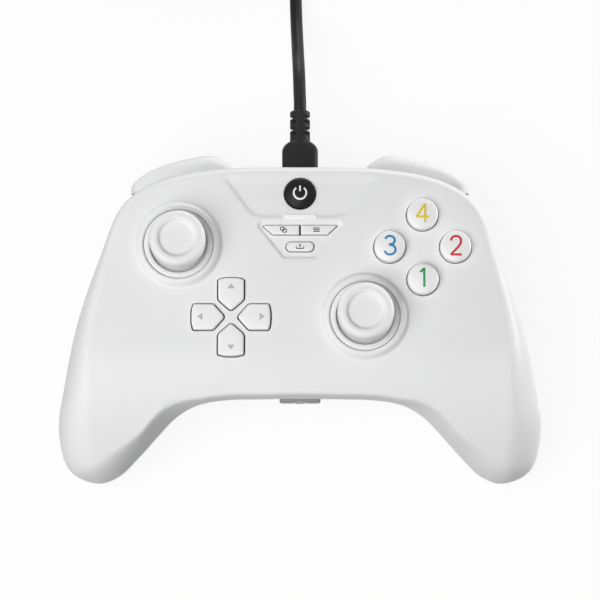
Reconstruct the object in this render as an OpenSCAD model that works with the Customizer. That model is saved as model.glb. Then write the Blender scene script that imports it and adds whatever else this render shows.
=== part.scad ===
// Wired two-stick gamepad with its lead, drawn in millimetres.
// X runs to the player's right, Y away from the player, Z up from the table.

/* [Case] */
// Width across the two grips
pad_w = 152; // [149:1:158]
// Height of the flat of the face above the table
face_z = 44; // [43.5:0.5:45]
// Wall thickness of both case halves
wall = 2.2; // [1.8:0.1:2.4]
// Top edge of the case, on the middle line
top_edge_y = 46.3; // [46:0.1:46.7]
// Bottom edge of the case between the grips, on the middle line
bottom_edge_y = -24.1; // [-25.2:0.1:-23.8]
// Lowest point of the grips in plan
grip_end_y = -50.8; // [-53.6:0.2:-50]
// Shoulder corner, distance from the middle line
shoulder_x = 55.6; // [55:0.1:57]
// Shoulder corner, distance towards the lead
shoulder_y = 34.3; // [33.5:0.1:35]
// Place of the widest part of the grips
grip_y = -34.4; // [-37:0.2:-31]
// Outward bow of the side between shoulder and grip
flank_bow = 3.5; // [2.5:0.1:4.2]
// Inner corner between bottom edge and grip, distance from the middle line
crotch_x = 39.5; // [38:0.5:40.5]
// How far the inner corner lies below the bottom edge
crotch_drop = 6.1; // [5:0.1:7.5]
// Rounding width of the face half along the top edge
top_round = 3; // [2.8:0.1:4]
// Rounding width of the face half along the sides and grips
grip_round = 13; // [12:0.5:15]
// Rounding width of the face half along the bottom edge
bottom_round = 2.8; // [2.8:0.1:4]
// How far the face stands out over the joint along the bottom edge
face_out = 3.8; // [3:0.1:4]
// Rounding width of the rear half along the top edge
rear_top_round = 8; // [6.5:0.5:10]
// Rounding width of the rear half along the sides and grips
rear_grip_round = 17; // [15:0.5:18]
// Rounding width of the rear half along the bottom edge
rear_bottom_round = 10; // [8:0.5:12]
// Where the flat of the face ends and the grips start to fall
face_break_y = -16.5; // [-17.5:0.5:-16.5]
// Fall of the face from its flat to the grip ends
grip_fall = 20; // [17:0.5:22]
// Height of the underside of the body
back_z = 10; // [9.5:0.1:10.2]
// Height of the underside of the grips
grip_low_z = 0.3; // [0.1:0.1:2]
// Height of the joint between the case halves on the middle of the part
part_z = 23.9; // [23.5:0.1:24.2]
// Rise of that joint for each millimetre towards the lead
part_slope = 0.2165; // [0.2:0.0005:0.23]
// Gap in the joint between the case halves
seam = 0.2; // [0.1:0.05:0.3]
// Length of the flat rest pad below the body
rest_w = 56; // [40:1:60]
// Depth of the flat rest pad
rest_d = 30; // [20:1:32]
// Middle of the rest pad, along Y
rest_y = 13; // [11:0.5:14]

/* [Sticks] */
// Left stick, distance from the middle line
lstick_x = 37.5; // [36.5:0.1:38]
// Left stick, place along Y
lstick_y = 20.5; // [20:0.1:21]
// Right stick, distance from the middle line
rstick_x = 20; // [19.5:0.1:21]
// Right stick, place along Y
rstick_y = -2; // [-2.2:0.1:-1]
// Height of the crossing of the two stick axes
pivot_z = 31; // [30.8:0.1:31.2]
// Radius of the opening in the face
stick_hole_r = 10.8; // [10.7:0.05:11]
// Radius of the opening in the ring let into it
ring_hole_r = 8.9; // [8.8:0.05:9.1]
// Outer radius of the raised collar
collar_r = 13.6; // [13.2:0.1:13.8]
// Height of the collar above the face
collar_h = 1.7; // [1.2:0.1:1.8]
// Radius of the thumb cap
cap_r = 8.6; // [8.4:0.05:8.8]
// Radius of the neck below the cap
neck_r = 2.7; // [2.6:0.05:2.8]
// Thickness of the thumb cap
cap_h = 5.2; // [4:0.1:6]
// Height of the underside of the cap above the crossing of the axes
cap_rise = 19; // [18.8:0.1:19.5]
// Radius of the flat dish in the cap
dish_r = 5.6; // [4:0.1:6.5]
// Depth of the dish
dish_depth = 0.9; // [0.4:0.1:1.2]
// Outer radius of the dome below the cap
dome_r = 14.8; // [14.5:0.05:14.9]
// Radius of the stick shaft
shaft_r = 2; // [1.8:0.05:2.1]
// Downward click of a stick
click = 0.6; // [0.4:0.1:0.7]

/* [Keys] */
// Middle of the action keys, distance from the middle line
face_x = 37.6; // [37.2:0.1:38]
// Middle of the action keys, along Y
face_y = 19.3; // [19:0.1:19.8]
// Distance of each action key from that middle
face_pitch = 10.15; // [9.8:0.05:10.4]
// Radius of an action key
face_key_r = 5; // [4.8:0.05:5.2]
// Height of an action key above the face
face_key_h = 3; // [2:0.1:3.2]
// Middle of the direction keys, distance from the middle line
dpad_x = 21.2; // [20.8:0.1:21.6]
// Middle of the direction keys, along Y
dpad_y = -2.3; // [-2.5:0.1:-2]
// Reach of a direction key from that middle
dpad_reach = 12.3; // [11.8:0.1:12.5]
// Width of a direction key
dpad_key_w = 7.9; // [7:0.1:8.2]
// Height of a direction key above the face
dpad_key_h = 1.7; // [1.2:0.1:2.4]
// Home key, place along Y
home_y = 36.2; // [35.9:0.1:36.4]
// Radius of the home key
home_r = 4.8; // [4.4:0.1:5]
// Height of the home key above the face
home_h = 1.7; // [1.2:0.1:2.2]
// Middle of the pair of option keys, along Y
option_y = 24.9; // [24.8:0.1:25.2]
// Depth of the option keys along Y
option_d = 3.1; // [2.6:0.1:3.2]
// Length of an option key along its longer edge
option_w = 11; // [10:0.1:11.4]
// Share key, place along Y
share_y = 19.8; // [19.4:0.1:20]
// Length of the share key
share_w = 8.8; // [8:0.1:9.2]
// Depth of the share key
share_d = 3.4; // [3:0.1:3.6]
// Height of the option and share keys above the floor of their recess
small_key_h = 0.9; // [0.6:0.1:1.4]
// Depth of the recess round the option and share keys
recess_depth = 0.4; // [0.2:0.1:0.6]
// Side gap between a key and its hole
key_gap = 0.3; // [0.25:0.05:0.4]
// Downward travel of the action and direction keys
key_travel = 1.2; // [0.8:0.1:1.3]
// Downward travel of the centre keys
small_travel = 0.8; // [0.5:0.1:0.9]

/* [Shoulder keys] */
// Trigger axis, distance from the middle line
trig_x = 38.5; // [38:0.1:39]
// Trigger axis, place along Y
trig_y = 39.6; // [39.4:0.1:39.8]
// Trigger axis, height
trig_z = 21.5; // [21.3:0.1:21.6]
// Turn of the trigger to the side
trig_yaw = 16; // [15.5:0.5:16.5]
// Width of a trigger
trig_w = 24.6; // [23.6:0.1:24.8]
// Radius of a trigger pin
trig_pin_r = 1.5; // [1.3:0.05:1.6]
// Running gap of a pin in its bore
pin_gap = 0.05; // [0.03:0.01:0.08]
// Radius of a bumper pin
bump_pin_r = 1.2; // [1:0.05:1.3]
// Underside of the bumpers
bump_z = 25.6; // [25.4:0.1:26.2]

/* [Board and motors] */
// Upper side of the circuit board
board_z = 24.4; // [24.4:0.1:24.5]
// Thickness of the circuit board
board_t = 1.6; // [1.2:0.1:1.6]
// Width of the circuit board
board_w = 105; // [104:1:106]
// Radius of a rumble motor
motor_r = 7; // [6.4:0.1:7]
// Length of a rumble motor
motor_l = 16; // [14:0.5:16]
// Motor axis, distance in from the widest part of the grip
motor_in = 15.5; // [15:0.1:16.5]
// Height of the motor axis
motor_z = 18.5; // [18.2:0.1:19]

/* [Socket, lead and screws] */
// Radius of the headset socket
jack_r = 1.8; // [1.75:0.01:1.9]
// Width of the socket housing
jack_w = 13; // [11:0.1:14]
// Height of the socket housing
jack_h = 6; // [5.4:0.1:6]
// Outer face of the socket housing
jack_y = -24.8; // [-25.4:0.1:-24.4]
// Height of the socket axis
jack_z = 14.2; // [14:0.1:14.3]
// Width of the boot on the lead
boot_w = 11.3; // [10:0.1:12.5]
// Height of the boot
boot_h = 7.5; // [6.6:0.1:8]
// Height of the lead's axis in the boot
boot_z = 26; // [25.8:0.1:26.2]
// Reach of the boot beyond the case
boot_l = 11; // [10:0.1:12]
// Radius of the ribbed strain relief
relief_r = 3.1; // [2.9:0.05:3.4]
// Length of the ribbed strain relief
relief_l = 10; // [8.5:0.1:11]
// Diameter of the lead
cord_d = 4; // [3.6:0.1:4.2]
// Radius of the middle of the put-away turns
coil_mean_r = 24.3; // [23:0.1:26]
// Turns in each layer of the put-away lead
coil_turns = 3.75; // [3.75:1:4.75]
// Clear gap between neighbouring turns
coil_gap = 0.5; // [0.45:0.05:0.8]
// Shank radius of a case screw
screw_r = 1.15; // [1:0.05:1.15]
// Shank length of a case screw
screw_l = 10; // [9:0.5:11]
// Head radius of a case screw
screw_head_r = 2.4; // [2:0.1:2.5]

/* [Hidden] */
$fa = 8;
$fs = 0.6;
grip_x = pad_w / 2;
part_clear = 0.3;
spans = 9;
span_steps = 3;
outer_cols = 14;
inner_cols = 10;
rows_half = spans * span_steps - 1;
cord_r = cord_d / 2;
coil_pitch = cord_d + coil_gap;
hook_r = coil_mean_r + coil_turns * coil_pitch / 2;
cord_x = -1.5;
coil_x = cord_x - hook_r;
coil_y = 147;
coil_z = cord_r + 1.2;
board_low = board_z - board_t;
white = [0.9, 0.9, 0.9];
dark = [0.12, 0.12, 0.13];
grey = [0.55, 0.55, 0.57];
green = [0.1, 0.35, 0.2];
steel = [0.72, 0.72, 0.74];

// Small helpers for curves and tubes

function mix(a, b, t) = a + (b - a) * t;
function clamp01(t) = min(1, max(0, t));
function smooth(t) = let (c = clamp01(t)) c * c * (3 - 2 * c);
function unit(v) = v / norm(v);
function flip_x(p) = [-p[0], p[1]];

// One span of a smooth curve through four points
function curve(a, b, c, d, t) =
  let (
    da = sqrt(max(norm(b - a), 0.001)),
    db = sqrt(max(norm(c - b), 0.001)),
    dc = sqrt(max(norm(d - c), 0.001)),
    m1 = db * ((b - a) / da - (c - a) / (da + db) + (c - b) / db),
    m2 = db * ((c - b) / db - (d - b) / (db + dc) + (d - c) / dc)
  )
  (2 * t * t * t - 3 * t * t + 1) * b + (t * t * t - 2 * t * t + t) * m1
    + (3 * t * t - 2 * t * t * t) * c + (t * t * t - t * t) * m2;

// A smooth open curve through a list of points, with n steps in each span
function curve_through(p, n) =
  let (last = len(p) - 1)
  [for (k = [0 : last - 1]) for (s = [0 : n - 1])
      curve(k == 0 ? 2 * p[0] - p[1] : p[k - 1], p[k], p[k + 1],
        k + 2 > last ? 2 * p[last] - p[last - 1] : p[k + 2], s / n),
    p[last]];

// Points of an arc about a middle
function arc(c, r, a0, a1, n) =
  [for (k = [0 : n]) c + r * [cos(mix(a0, a1, k / n)), sin(mix(a0, a1, k / n))]];

// Outline of a rounded rectangle about the origin
function pad_points(w, d, r, n = 5) =
  concat(arc([w / 2 - r, d / 2 - r], r, 0, 90, n), arc([r - w / 2, d / 2 - r], r, 90, 180, n),
    arc([r - w / 2, r - d / 2], r, 180, 270, n), arc([w / 2 - r, r - d / 2], r, 270, 360, n));

// A closed tube of round section swept along a path
module tube(path, r, sides) {
  n = len(path);
  dirs = [for (k = [0 : n - 1]) unit(path[min(k + 1, n - 1)] - path[max(k - 1, 0)])];
  sidew = [for (k = [0 : n - 1]) unit(cross(dirs[k], abs(dirs[k][2]) > 0.9 ? [1, 0, 0] : [0, 0, 1]))];
  points = [for (k = [0 : n - 1]) for (s = [0 : sides - 1])
      let (a = 360 * (s + 0.5) / sides, up = cross(sidew[k], dirs[k]))
      path[k] + r * (cos(a) * sidew[k] + sin(a) * up)];
  faces = concat(
    [[for (s = [0 : sides - 1]) s]],
    [for (k = [0 : n - 2]) for (s = [0 : sides - 1]) for (h = [0, 1])
        let (a = k * sides + s, b = k * sides + (s + 1) % sides)
        h == 0 ? [a, a + sides, b + sides] : [a, b + sides, b]],
    [[for (s = [sides - 1 : -1 : 0]) (n - 1) * sides + s]]);
  polyhedron(points = points, faces = faces, convexity = 10);
}

function path_length(p, k = 1) = k < len(p) ? norm(p[k] - p[k - 1]) + path_length(p, k + 1) : 0;

// Outline of the case

function flank(f) = mix([shoulder_x, shoulder_y], [grip_x, grip_y], f) + [flank_bow * sin(180 * f), 0];
tip = [grip_x - 11.9, grip_end_y + 0.4];
crotch = [crotch_x, bottom_edge_y - crotch_drop];
heel = [grip_x - 18.7, grip_end_y + 2.6];
upper_run = [[0, top_edge_y], [shoulder_x - 29, top_edge_y - 0.7], [shoulder_x - 11, shoulder_y + 7.5],
  [shoulder_x, shoulder_y], flank(0.234), flank(0.52), flank(0.81), [grip_x, grip_y],
  [grip_x - 3.2, grip_end_y + 4.3], tip];
lower_run = [[0, bottom_edge_y], [crotch_x - 25.5, bottom_edge_y - 0.2],
  [crotch_x - 17.5, bottom_edge_y - 0.4], [crotch_x - 10, bottom_edge_y - 1.3],
  [crotch_x - 5, bottom_edge_y - 2.9], crotch,
  mix(crotch, heel, 0.283), mix(crotch, heel, 0.61) + [0, -0.5], heel, tip];

// The same points moved inwards by a set distance
function inset_run(own, other, turn, by) =
  [for (k = [0 : spans])
      let (
        before = k == 0 ? flip_x(own[1]) : own[k - 1],
        after = k == spans ? other[spans - 1] : own[k + 1],
        t = unit(after - before)
      )
      own[k] + by * turn * [t[1], -t[0]]];

// Points along one run, from the middle line to the grip end
function run_points(own, other) =
  [for (k = [0 : spans - 1]) for (s = [0 : span_steps - 1])
      curve(k == 0 ? flip_x(own[1]) : own[k - 1], own[k], own[k + 1],
        k + 2 > spans ? other[spans - 1] : own[k + 2], s / span_steps)];

function inset_upper(by) = inset_run(upper_run, lower_run, 1, by);
function inset_lower(by) = inset_run(lower_run, upper_run, -1, by);

// Closed outline, moved inwards by a set distance
function outline(by) =
  let (
    u = inset_upper(by), l = inset_lower(by),
    up = run_points(u, l), lo = run_points(l, u), n = len(up)
  )
  concat([for (k = [0 : n - 1]) up[k]], [u[spans]], [for (k = [n - 1 : -1 : 0]) lo[k]],
    [for (k = [1 : n - 1]) flip_x(lo[k])], [flip_x(u[spans])], [for (k = [n - 1 : -1 : 1]) flip_x(up[k])]);

// Heights of the case surfaces

function plane_z(y) = part_z + part_slope * y;
function top_z(y) = face_z - (y < face_break_y
    ? grip_fall * pow((face_break_y - y) / (face_break_y - grip_end_y), 1.6) : 0);
function low_z(x, y) = back_z - (back_z - grip_low_z) * smooth((-4 - y) / 30) * smooth((abs(x) - 22) / 28);
function bulge(d, w) = pow(1 - pow(1 - clamp01(d / w), 2.2), 1 / 2.2);
function upper_width(k, up) = up > 0
  ? mix(top_round, grip_round, smooth((k / span_steps - 2.5) / 5))
  : mix(rear_top_round, rear_grip_round, smooth((k / span_steps - 1.2) / 3.6));
function lower_width(k, up) = up > 0
  ? mix(bottom_round, grip_round, smooth((k / span_steps - 3) / 6))
  : mix(rear_bottom_round, rear_grip_round, smooth((k / span_steps - 2) / 6));
function stand_out(k, up) = up > 0 ? face_out * (1 - smooth((k / span_steps - 3) / 3)) : 0;

// Place of one column along a rib, closer together where the edges are rounded
function column(j, cols, wa, wb, l) =
  let (h = cols / 2, most = l * 0.48)
  j == h ? 0.5
    : j < h ? pow(j / (h - 1), 2.1) * min(max(wa, 7), most) / l
    : 1 - pow((cols - j) / (h - 1), 2.1) * min(max(wb, 9), most) / l;

// One surface point: up is 1 for the face half and -1 for the rear half
function skin_point(a, b, t, wa, wb, up, deep, out) =
  let (
    p = mix(a, b, t), l = norm(b - a), d = (1 - t) * l, rise = bulge(d, wb - deep),
    q = p + (b - a) / l * out * rise * (1 - smooth((d - wb) / 30)),
    rim = plane_z(p[1]) + up * seam / 2,
    full = up > 0 ? top_z(q[1]) - deep : low_z(q[0], q[1]) + deep
  )
  [q[0], q[1], mix(rim, full, bulge(t * l, wa - deep) * rise)];

// All rows of one surface, from the left grip to the right grip
function skin_rows(up, deep, cols) =
  let (
    u = inset_upper(deep), l = inset_lower(deep),
    a = run_points(u, l), b = run_points(l, u)
  )
  [for (r = [-rows_half : rows_half])
      let (k = abs(r), s = r < 0 ? -1 : 1)
      for (j = [0 : cols])
        let (
          wa = upper_width(k, up), wb = lower_width(k, up),
          t = column(j, cols, wa - deep, wb - deep, norm(b[k] - a[k])),
          q = skin_point(a[k], b[k], t, wa, wb, up, deep, stand_out(k, up))
        )
        [s * q[0], q[1], q[2]]];

function grip_tip(s, up, deep) =
  let (p = inset_upper(deep)[spans]) [s * p[0], p[1], plane_z(p[1]) + up * seam / 2];

function turned(f, back) = back ? [f[2], f[1], f[0]] : f;

// Faces of one surface with its two end points
function skin_faces(first, cols, left, right, back) =
  let (w = cols + 1, rows = 2 * rows_half + 1)
  concat(
    [for (r = [0 : rows - 2]) for (j = [0 : cols - 1]) for (h = [0, 1])
        let (a = first + r * w + j, b = a + w)
        turned(h == 0 ? [a, b, b + 1] : [a, b + 1, a + 1], back)],
    [for (j = [0 : cols - 1])
        let (a = first + (rows - 1) * w + j)
        turned([a, right, a + 1], back)],
    [for (j = [0 : cols - 1]) turned([left, first + j, first + j + 1], back)]);

// Flat rim between two closed chains of point numbers
function rim_faces(outer, inner, back) =
  let (n = len(outer))
  [for (k = [0 : n - 1]) for (h = [0, 1])
      let (m = (k + 1) % n)
      turned(h == 0 ? [outer[k], inner[m], outer[m]] : [outer[k], inner[k], inner[m]], back)];

function edge_chain(first, cols, left, right) =
  let (w = cols + 1, rows = 2 * rows_half + 1)
  concat([for (r = [0 : rows - 1]) first + r * w], [right],
    [for (r = [rows - 1 : -1 : 0]) first + r * w + cols], [left]);

// Hollow half of the case
module case_half(up) {
  rows = 2 * rows_half + 1;
  n_out = rows * (outer_cols + 1);
  n_in = rows * (inner_cols + 1);
  ends = n_out + n_in;
  back = up < 0;
  points = concat(skin_rows(up, 0, outer_cols), skin_rows(up, wall, inner_cols),
    [grip_tip(-1, up, 0), grip_tip(1, up, 0), grip_tip(-1, up, wall), grip_tip(1, up, wall)]);
  faces = concat(
    skin_faces(0, outer_cols, ends, ends + 1, back),
    skin_faces(n_out, inner_cols, ends + 2, ends + 3, !back),
    rim_faces(edge_chain(0, outer_cols, ends, ends + 1),
      edge_chain(n_out, inner_cols, ends + 2, ends + 3), back));
  polyhedron(points = points, faces = faces, convexity = 10);
}

// One half of the case as a full block, to trim what grows from its wall
module case_fill(up, deep) {
  w = inner_cols + 1;
  rows = 2 * rows_half + 1;
  ends = rows * w;
  back = up < 0;
  faces = concat(
    skin_faces(0, inner_cols, ends, ends + 1, back),
    [for (r = [0 : rows - 2]) for (h = [0, 1])
        let (a = r * w, b = a + w)
        turned(h == 0 ? [a, b + inner_cols, b] : [a, a + inner_cols, b + inner_cols], back)],
    [turned([(rows - 1) * w, (rows - 1) * w + inner_cols, ends + 1], back),
      turned([0, ends, inner_cols], back)]);
  points = concat(skin_rows(up, deep, inner_cols), [grip_tip(-1, up, deep), grip_tip(1, up, deep)]);
  polyhedron(points = points, faces = faces, convexity = 10);
}

// Places shared by several pieces

inner_posts = [[31, -18.5], [-31, -18.5]];
side_posts = [[57, 10], [-57, 10]];
grip_posts = [[grip_x - 14.5, -43], [14.5 - grip_x, -43]];
face_keys = [[face_x, face_y + face_pitch], [face_x, face_y - face_pitch],
  [face_x + face_pitch, face_y], [face_x - face_pitch, face_y]];
stick_spots = [[-lstick_x, lstick_y], [rstick_x, rstick_y]];
seat_r = stick_hole_r - 0.6;
seat_z = -0.8;
motor_x = grip_x - motor_in;
motor_back = -15;
post_r = 2.8;
well_r = screw_head_r + 0.4;
tube_r = well_r + 1.4;
frame_z = 14.7;
ear_in = trig_w / 2 + 0.4;
ear_t = 2;
ear_low = trig_z - 3.2;
foot_w = 22.4;
stake_x = 9;
shelf_d = 4.8;
bump_at = [-ear_in - ear_t - 1.3, 2.2];

// Put a child at the right or left trigger, in the trigger's own axes
module at_trigger(side) {
  mirror([side < 0 ? 1 : 0, 0, 0])
    translate([trig_x, trig_y, 0])
      rotate([0, 0, -trig_yaw])
        children();
}

// A direction key's outline, pointing away from the middle, grown by a set amount
function dpad_points(g) =
  let (h = dpad_key_w / 2 + g, o = dpad_reach + g, s = 5.3 - 0.4 * g, t = 2.5 - g, f = 0.7 + 0.4 * g, c = 0.6)
  [[h, s], [h, o - 0.35 - c], [h - c, o - 0.3], [h * 0.4, o], [-h * 0.4, o], [c - h, o - 0.3],
    [-h, o - 0.35 - c], [-h, s], [-f, t], [f, t]];

// Half of the option bar, on the right of the middle line, grown by a set amount
function option_points(g) =
  let (h = option_d / 2 + g, i = 0.25 - min(g, 0.2), o = 0.25 + option_w + g)
  [[i, -h], [o - 2.5, -h], [o - 2, 0.35 - h], [o - 0.35, h - 1], [o, h - 0.5], [o - 0.35, h], [i, h]];

// A half outline joined to its mirror image
function both_sides(half) = concat(half, [for (k = [len(half) - 1 : -1 : 0]) flip_x(half[k])]);

// Section of the collar: share of its width and share of its height
collar_line = [[-0.2, -1], [-0.2, 0.6], [0, 0.72], [0.12, 0.92], [0.28, 1], [0.45, 0.93], [0.62, 0.74],
  [0.78, 0.44], [0.9, 0.18], [1, 0.02], [1, -1]];

// Case halves

module front_shell() {
  color(white)
  difference() {
    union() {
      difference() {
        case_half(1);
        translate([0, 0, face_z - recess_depth])
          linear_extrude(2)
            polygon([[-12.9, option_y + 1.9], [-5.6, 15.9], [5.6, 15.9], [12.9, option_y + 1.9]]);
      }
      for (p = stick_spots)
        translate([p[0], p[1], 0])
          rotate_extrude($fn = 64)
            polygon([for (c = collar_line)
              [mix(stick_hole_r, collar_r, c[0]), face_z + (c[1] < 0 ? -1 : c[1] * collar_h)]]);
      intersection() {
        case_fill(1, 0.6);
        union() {
          for (p = concat(inner_posts, side_posts))
            translate([p[0], p[1], abs(p[0]) > 50 ? plane_z(p[1]) + seam : board_z])
              cylinder(r = post_r, h = 30);
          for (p = grip_posts)
            translate([p[0], p[1], plane_z(p[1]) + seam])
              cylinder(r = post_r, h = 30);
        }
      }
    }
    for (p = stick_spots)
      translate([p[0], p[1], face_z])
        rotate_extrude($fn = 64)
          polygon([[0, -4], [stick_hole_r, -4], [stick_hole_r, -wall], [seat_r, 0.7 - wall], [seat_r, seat_z],
            [stick_hole_r, seat_z], [stick_hole_r, 4], [0, 4]]);
    for (p = face_keys)
      translate([p[0], p[1], face_z - 4])
        cylinder(r = face_key_r + key_gap, h = 8, $fn = 48);
    for (a = [0, 90, 180, 270])
      translate([-dpad_x, dpad_y, face_z - 4])
        rotate([0, 0, a])
          linear_extrude(8)
            polygon(dpad_points(key_gap));
    translate([0, home_y, face_z - 4])
      cylinder(r = home_r + key_gap, h = 8, $fn = 48);
    translate([0, option_y, face_z - 4])
      linear_extrude(8)
        polygon(both_sides(option_points(key_gap)));
    translate([0, share_y, face_z - 4])
      linear_extrude(8)
        polygon(pad_points(share_w + 2 * key_gap, share_d + 2 * key_gap, 1.2 + key_gap));
    for (p = inner_posts)
      translate([p[0], p[1], board_z - 1])
        cylinder(r = screw_r + 0.05, h = 8);
    for (p = concat(side_posts, grip_posts))
      translate([p[0], p[1], plane_z(p[1]) - 2])
        cylinder(r = screw_r + 0.05, h = 10);
  }
}

// Deep screw well from below, with the screw's hole above it
module well_hole(p, top) {
  translate([p[0], p[1], -6])
    cylinder(r = well_r, h = top - 3.5 + 6);
  translate([p[0], p[1], 0])
    cylinder(r = screw_r + 0.3, h = top + 2);
}

module rest_block(grow, low) {
  hull() {
    translate([0, rest_y, low])
      linear_extrude(0.1)
        polygon(pad_points(rest_w + 2 * grow, rest_d + 2 * grow, 7 + grow));
    translate([0, rest_y, back_z + 0.6])
      linear_extrude(0.1)
        polygon(pad_points(rest_w + 9 + 2 * grow, rest_d + 9 + 2 * grow, 10 + grow));
  }
}

// Space for the trigger and bumper at one shoulder
module shoulder_space(side) {
  at_trigger(side)
    translate([-20.5, -1.2, -4])
      cube([36.7, 40, 50]);
}

module rear_shell() {
  color(white)
  difference() {
    union() {
      difference() {
        union() {
          case_half(-1);
          rest_block(0, 0);
        }
        rest_block(-wall, wall);
        translate([0, rest_y, back_z])
          linear_extrude(wall + 1)
            polygon(pad_points(rest_w + 4.6, rest_d + 4.6, 8));
        for (side = [-1, 1]) {
          shoulder_space(side);
          at_trigger(side)
            translate([ear_in, 0, trig_z])
              rotate([0, -90, 0])
                cylinder(r = 3.2 + part_clear, h = 2 * ear_in, $fn = 40);
          at_trigger(side)
            for (s = [-1, 1])
              translate([s * (ear_in + ear_t / 2) - ear_t / 2 - part_clear, -9.3, ear_low - part_clear])
                cube([ear_t + 2 * part_clear, 12, 12]);
        }
        translate([0, 40, boot_z])
          rotate([-90, 0, 0])
            linear_extrude(20)
              polygon(pad_points(boot_w + 0.3, boot_h + 0.3, 2.15));
        translate([-jack_w / 2 - 0.2, -40, jack_z - jack_h / 2 - 0.25])
          cube([jack_w + 0.4, 40 + jack_y + 15.2, jack_h + 0.5]);
      }
      intersection() {
        case_fill(-1, 0.6);
        union() {
          for (p = concat(inner_posts, side_posts, grip_posts))
            translate([p[0], p[1], 0])
              cylinder(r = tube_r, h = 60);
          for (s = [-1, 1])
            difference() {
              for (y = [5, 14])
                translate([s * (motor_x - 1.2) - 4.7, motor_back - y, 0])
                  cube([9.4, 2, motor_z - 2]);
              translate([s * motor_x, motor_back + 2, motor_z])
                rotate([90, 0, 0])
                  cylinder(r = motor_r + 0.02, h = 25, $fn = 64);
            }
          for (side = [-1, 1]) for (s = [-1, 1])
            at_trigger(side)
              translate([s * stake_x, -7, 0]) {
                cylinder(r = 2.2, h = frame_z);
                cylinder(r = 1, h = frame_z + 3);
              }
        }
      }
      for (p = inner_posts)
        translate([p[0], p[1], plane_z(p[1]) - 2])
          cylinder(r = tube_r, h = board_low - plane_z(p[1]) + 2);
    }
    for (p = inner_posts)
      well_hole(p, board_low);
    for (p = concat(side_posts, grip_posts))
      well_hole(p, plane_z(p[1]) - seam / 2);
  }
}

// Shoulder keys and their carriers

bump_outer = [[19.9, 47.4], [23.7, 50.5], [27.9, 52.1], [34.1, 51.4], [41.4, 49.6], [46.6, 47.5],
  [51.3, 44.6], [53.2, 42.5], [53.4, 39.8]];
bump_inner = [[49.5, 38.6], [44, 41], [36, 43.4], [26, 44], [19.9, 44.2]];
bump_world = [trig_x + bump_at[0] * cos(trig_yaw) + bump_at[1] * sin(trig_yaw),
  trig_y - bump_at[0] * sin(trig_yaw) + bump_at[1] * cos(trig_yaw)];

module bumper(side) {
  outer = curve_through(bump_outer, 3);
  mid = [33, 42];
  color(white)
  mirror([side < 0 ? 1 : 0, 0, 0])
  difference() {
    hull() {
      translate([0, 0, bump_z])
        linear_extrude(3.6)
          polygon(concat(outer, bump_inner));
      translate([0, 0, bump_z + 7.6])
        linear_extrude(0.3)
          polygon(concat([for (p = outer) mix(p, mid, 0.14)], bump_inner));
    }
    translate([0, 0, bump_z - 1])
      linear_extrude(20)
        polygon(concat([[49.5, 30]], [for (p = bump_inner) p], [[19.9, 30]]));
    translate([0, 0, part_z - seam / 2 - part_clear])
      multmatrix([[1, 0, 0, 0], [0, 1, 0, 0], [0, part_slope, 1, 0], [0, 0, 0, 1]])
        translate([0, 0, 0])
          cube([80, 80, 20]);
    translate([bump_world[0], bump_world[1], 0])
      cylinder(r = bump_pin_r + pin_gap, h = 60, $fn = 40);
  }
}

module left_bumper() { bumper(-1); }
module right_bumper() { bumper(1); }

module bumper_pins() {
  color(steel)
  for (s = [-1, 1])
    translate([s * bump_world[0], bump_world[1], 15])
      cylinder(r = bump_pin_r, h = bump_z + 5 - 15, $fn = 40);
}

// Side profile of a trigger about its axis: outwards, then up
trig_front = [[1.5, 3.1], [5.4, 2.2], [7.4, -2], [7.9, -7], [7.1, -12], [7.6, -15.8], [8.8, -18.2]];
trig_back = [[7.6, -18.9], [5.4, -16.4], [4, -11.5], [3.1, -6.5], [0, -3.1]];
trig_line = concat(curve_through(trig_front, 4), curve_through(trig_back, 3));

module trigger(side) {
  color(white)
  at_trigger(side)
  difference() {
    union() {
      intersection() {
        translate([trig_w / 2, 0, trig_z])
          rotate([90, 0, -90])
            linear_extrude(trig_w)
              polygon([for (p = trig_line) flip_x(p)]);
        linear_extrude(60)
          polygon(concat([[-trig_w / 2, -6]], arc([4 - trig_w / 2, 5.2], 4, 180, 90, 5),
            arc([trig_w / 2 - 6, 3.2], 6, 90, 0, 6), [[trig_w / 2, -6]]));
      }
      translate([trig_w / 2, 0, trig_z])
        rotate([0, -90, 0])
          cylinder(r = 3.2, h = trig_w, $fn = 40);
    }
    translate([trig_w / 2 + 5, 0, trig_z])
      rotate([0, -90, 0])
        cylinder(r = trig_pin_r + pin_gap, h = trig_w + 10, $fn = 40);
    translate([-trig_w / 2 + 3, 0, trig_z])
      rotate([0, -90, 0])
        cylinder(r = 3.5, h = 10, $fn = 40);
  }
}

module left_trigger() { trigger(-1); }
module right_trigger() { trigger(1); }

module trigger_pin(side) {
  color(steel)
  at_trigger(side)
    translate([ear_in + ear_t, 0, trig_z])
      rotate([0, -90, 0])
        cylinder(r = trig_pin_r, h = 2 * (ear_in + ear_t), $fn = 40);
}

module left_trigger_pin() { trigger_pin(-1); }
module right_trigger_pin() { trigger_pin(1); }

module trigger_spring(side) {
  turns = 4;
  color(steel)
  at_trigger(side)
    tube([for (k = [0 : 12 * turns])
        [0.1 - trig_w / 2 + 2.4 * k / (12 * turns), 2.45 * cos(30 * k), trig_z + 2.45 * sin(30 * k)]],
        0.25, 6);
}

module left_trigger_spring() { trigger_spring(-1); }
module right_trigger_spring() { trigger_spring(1); }

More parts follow.
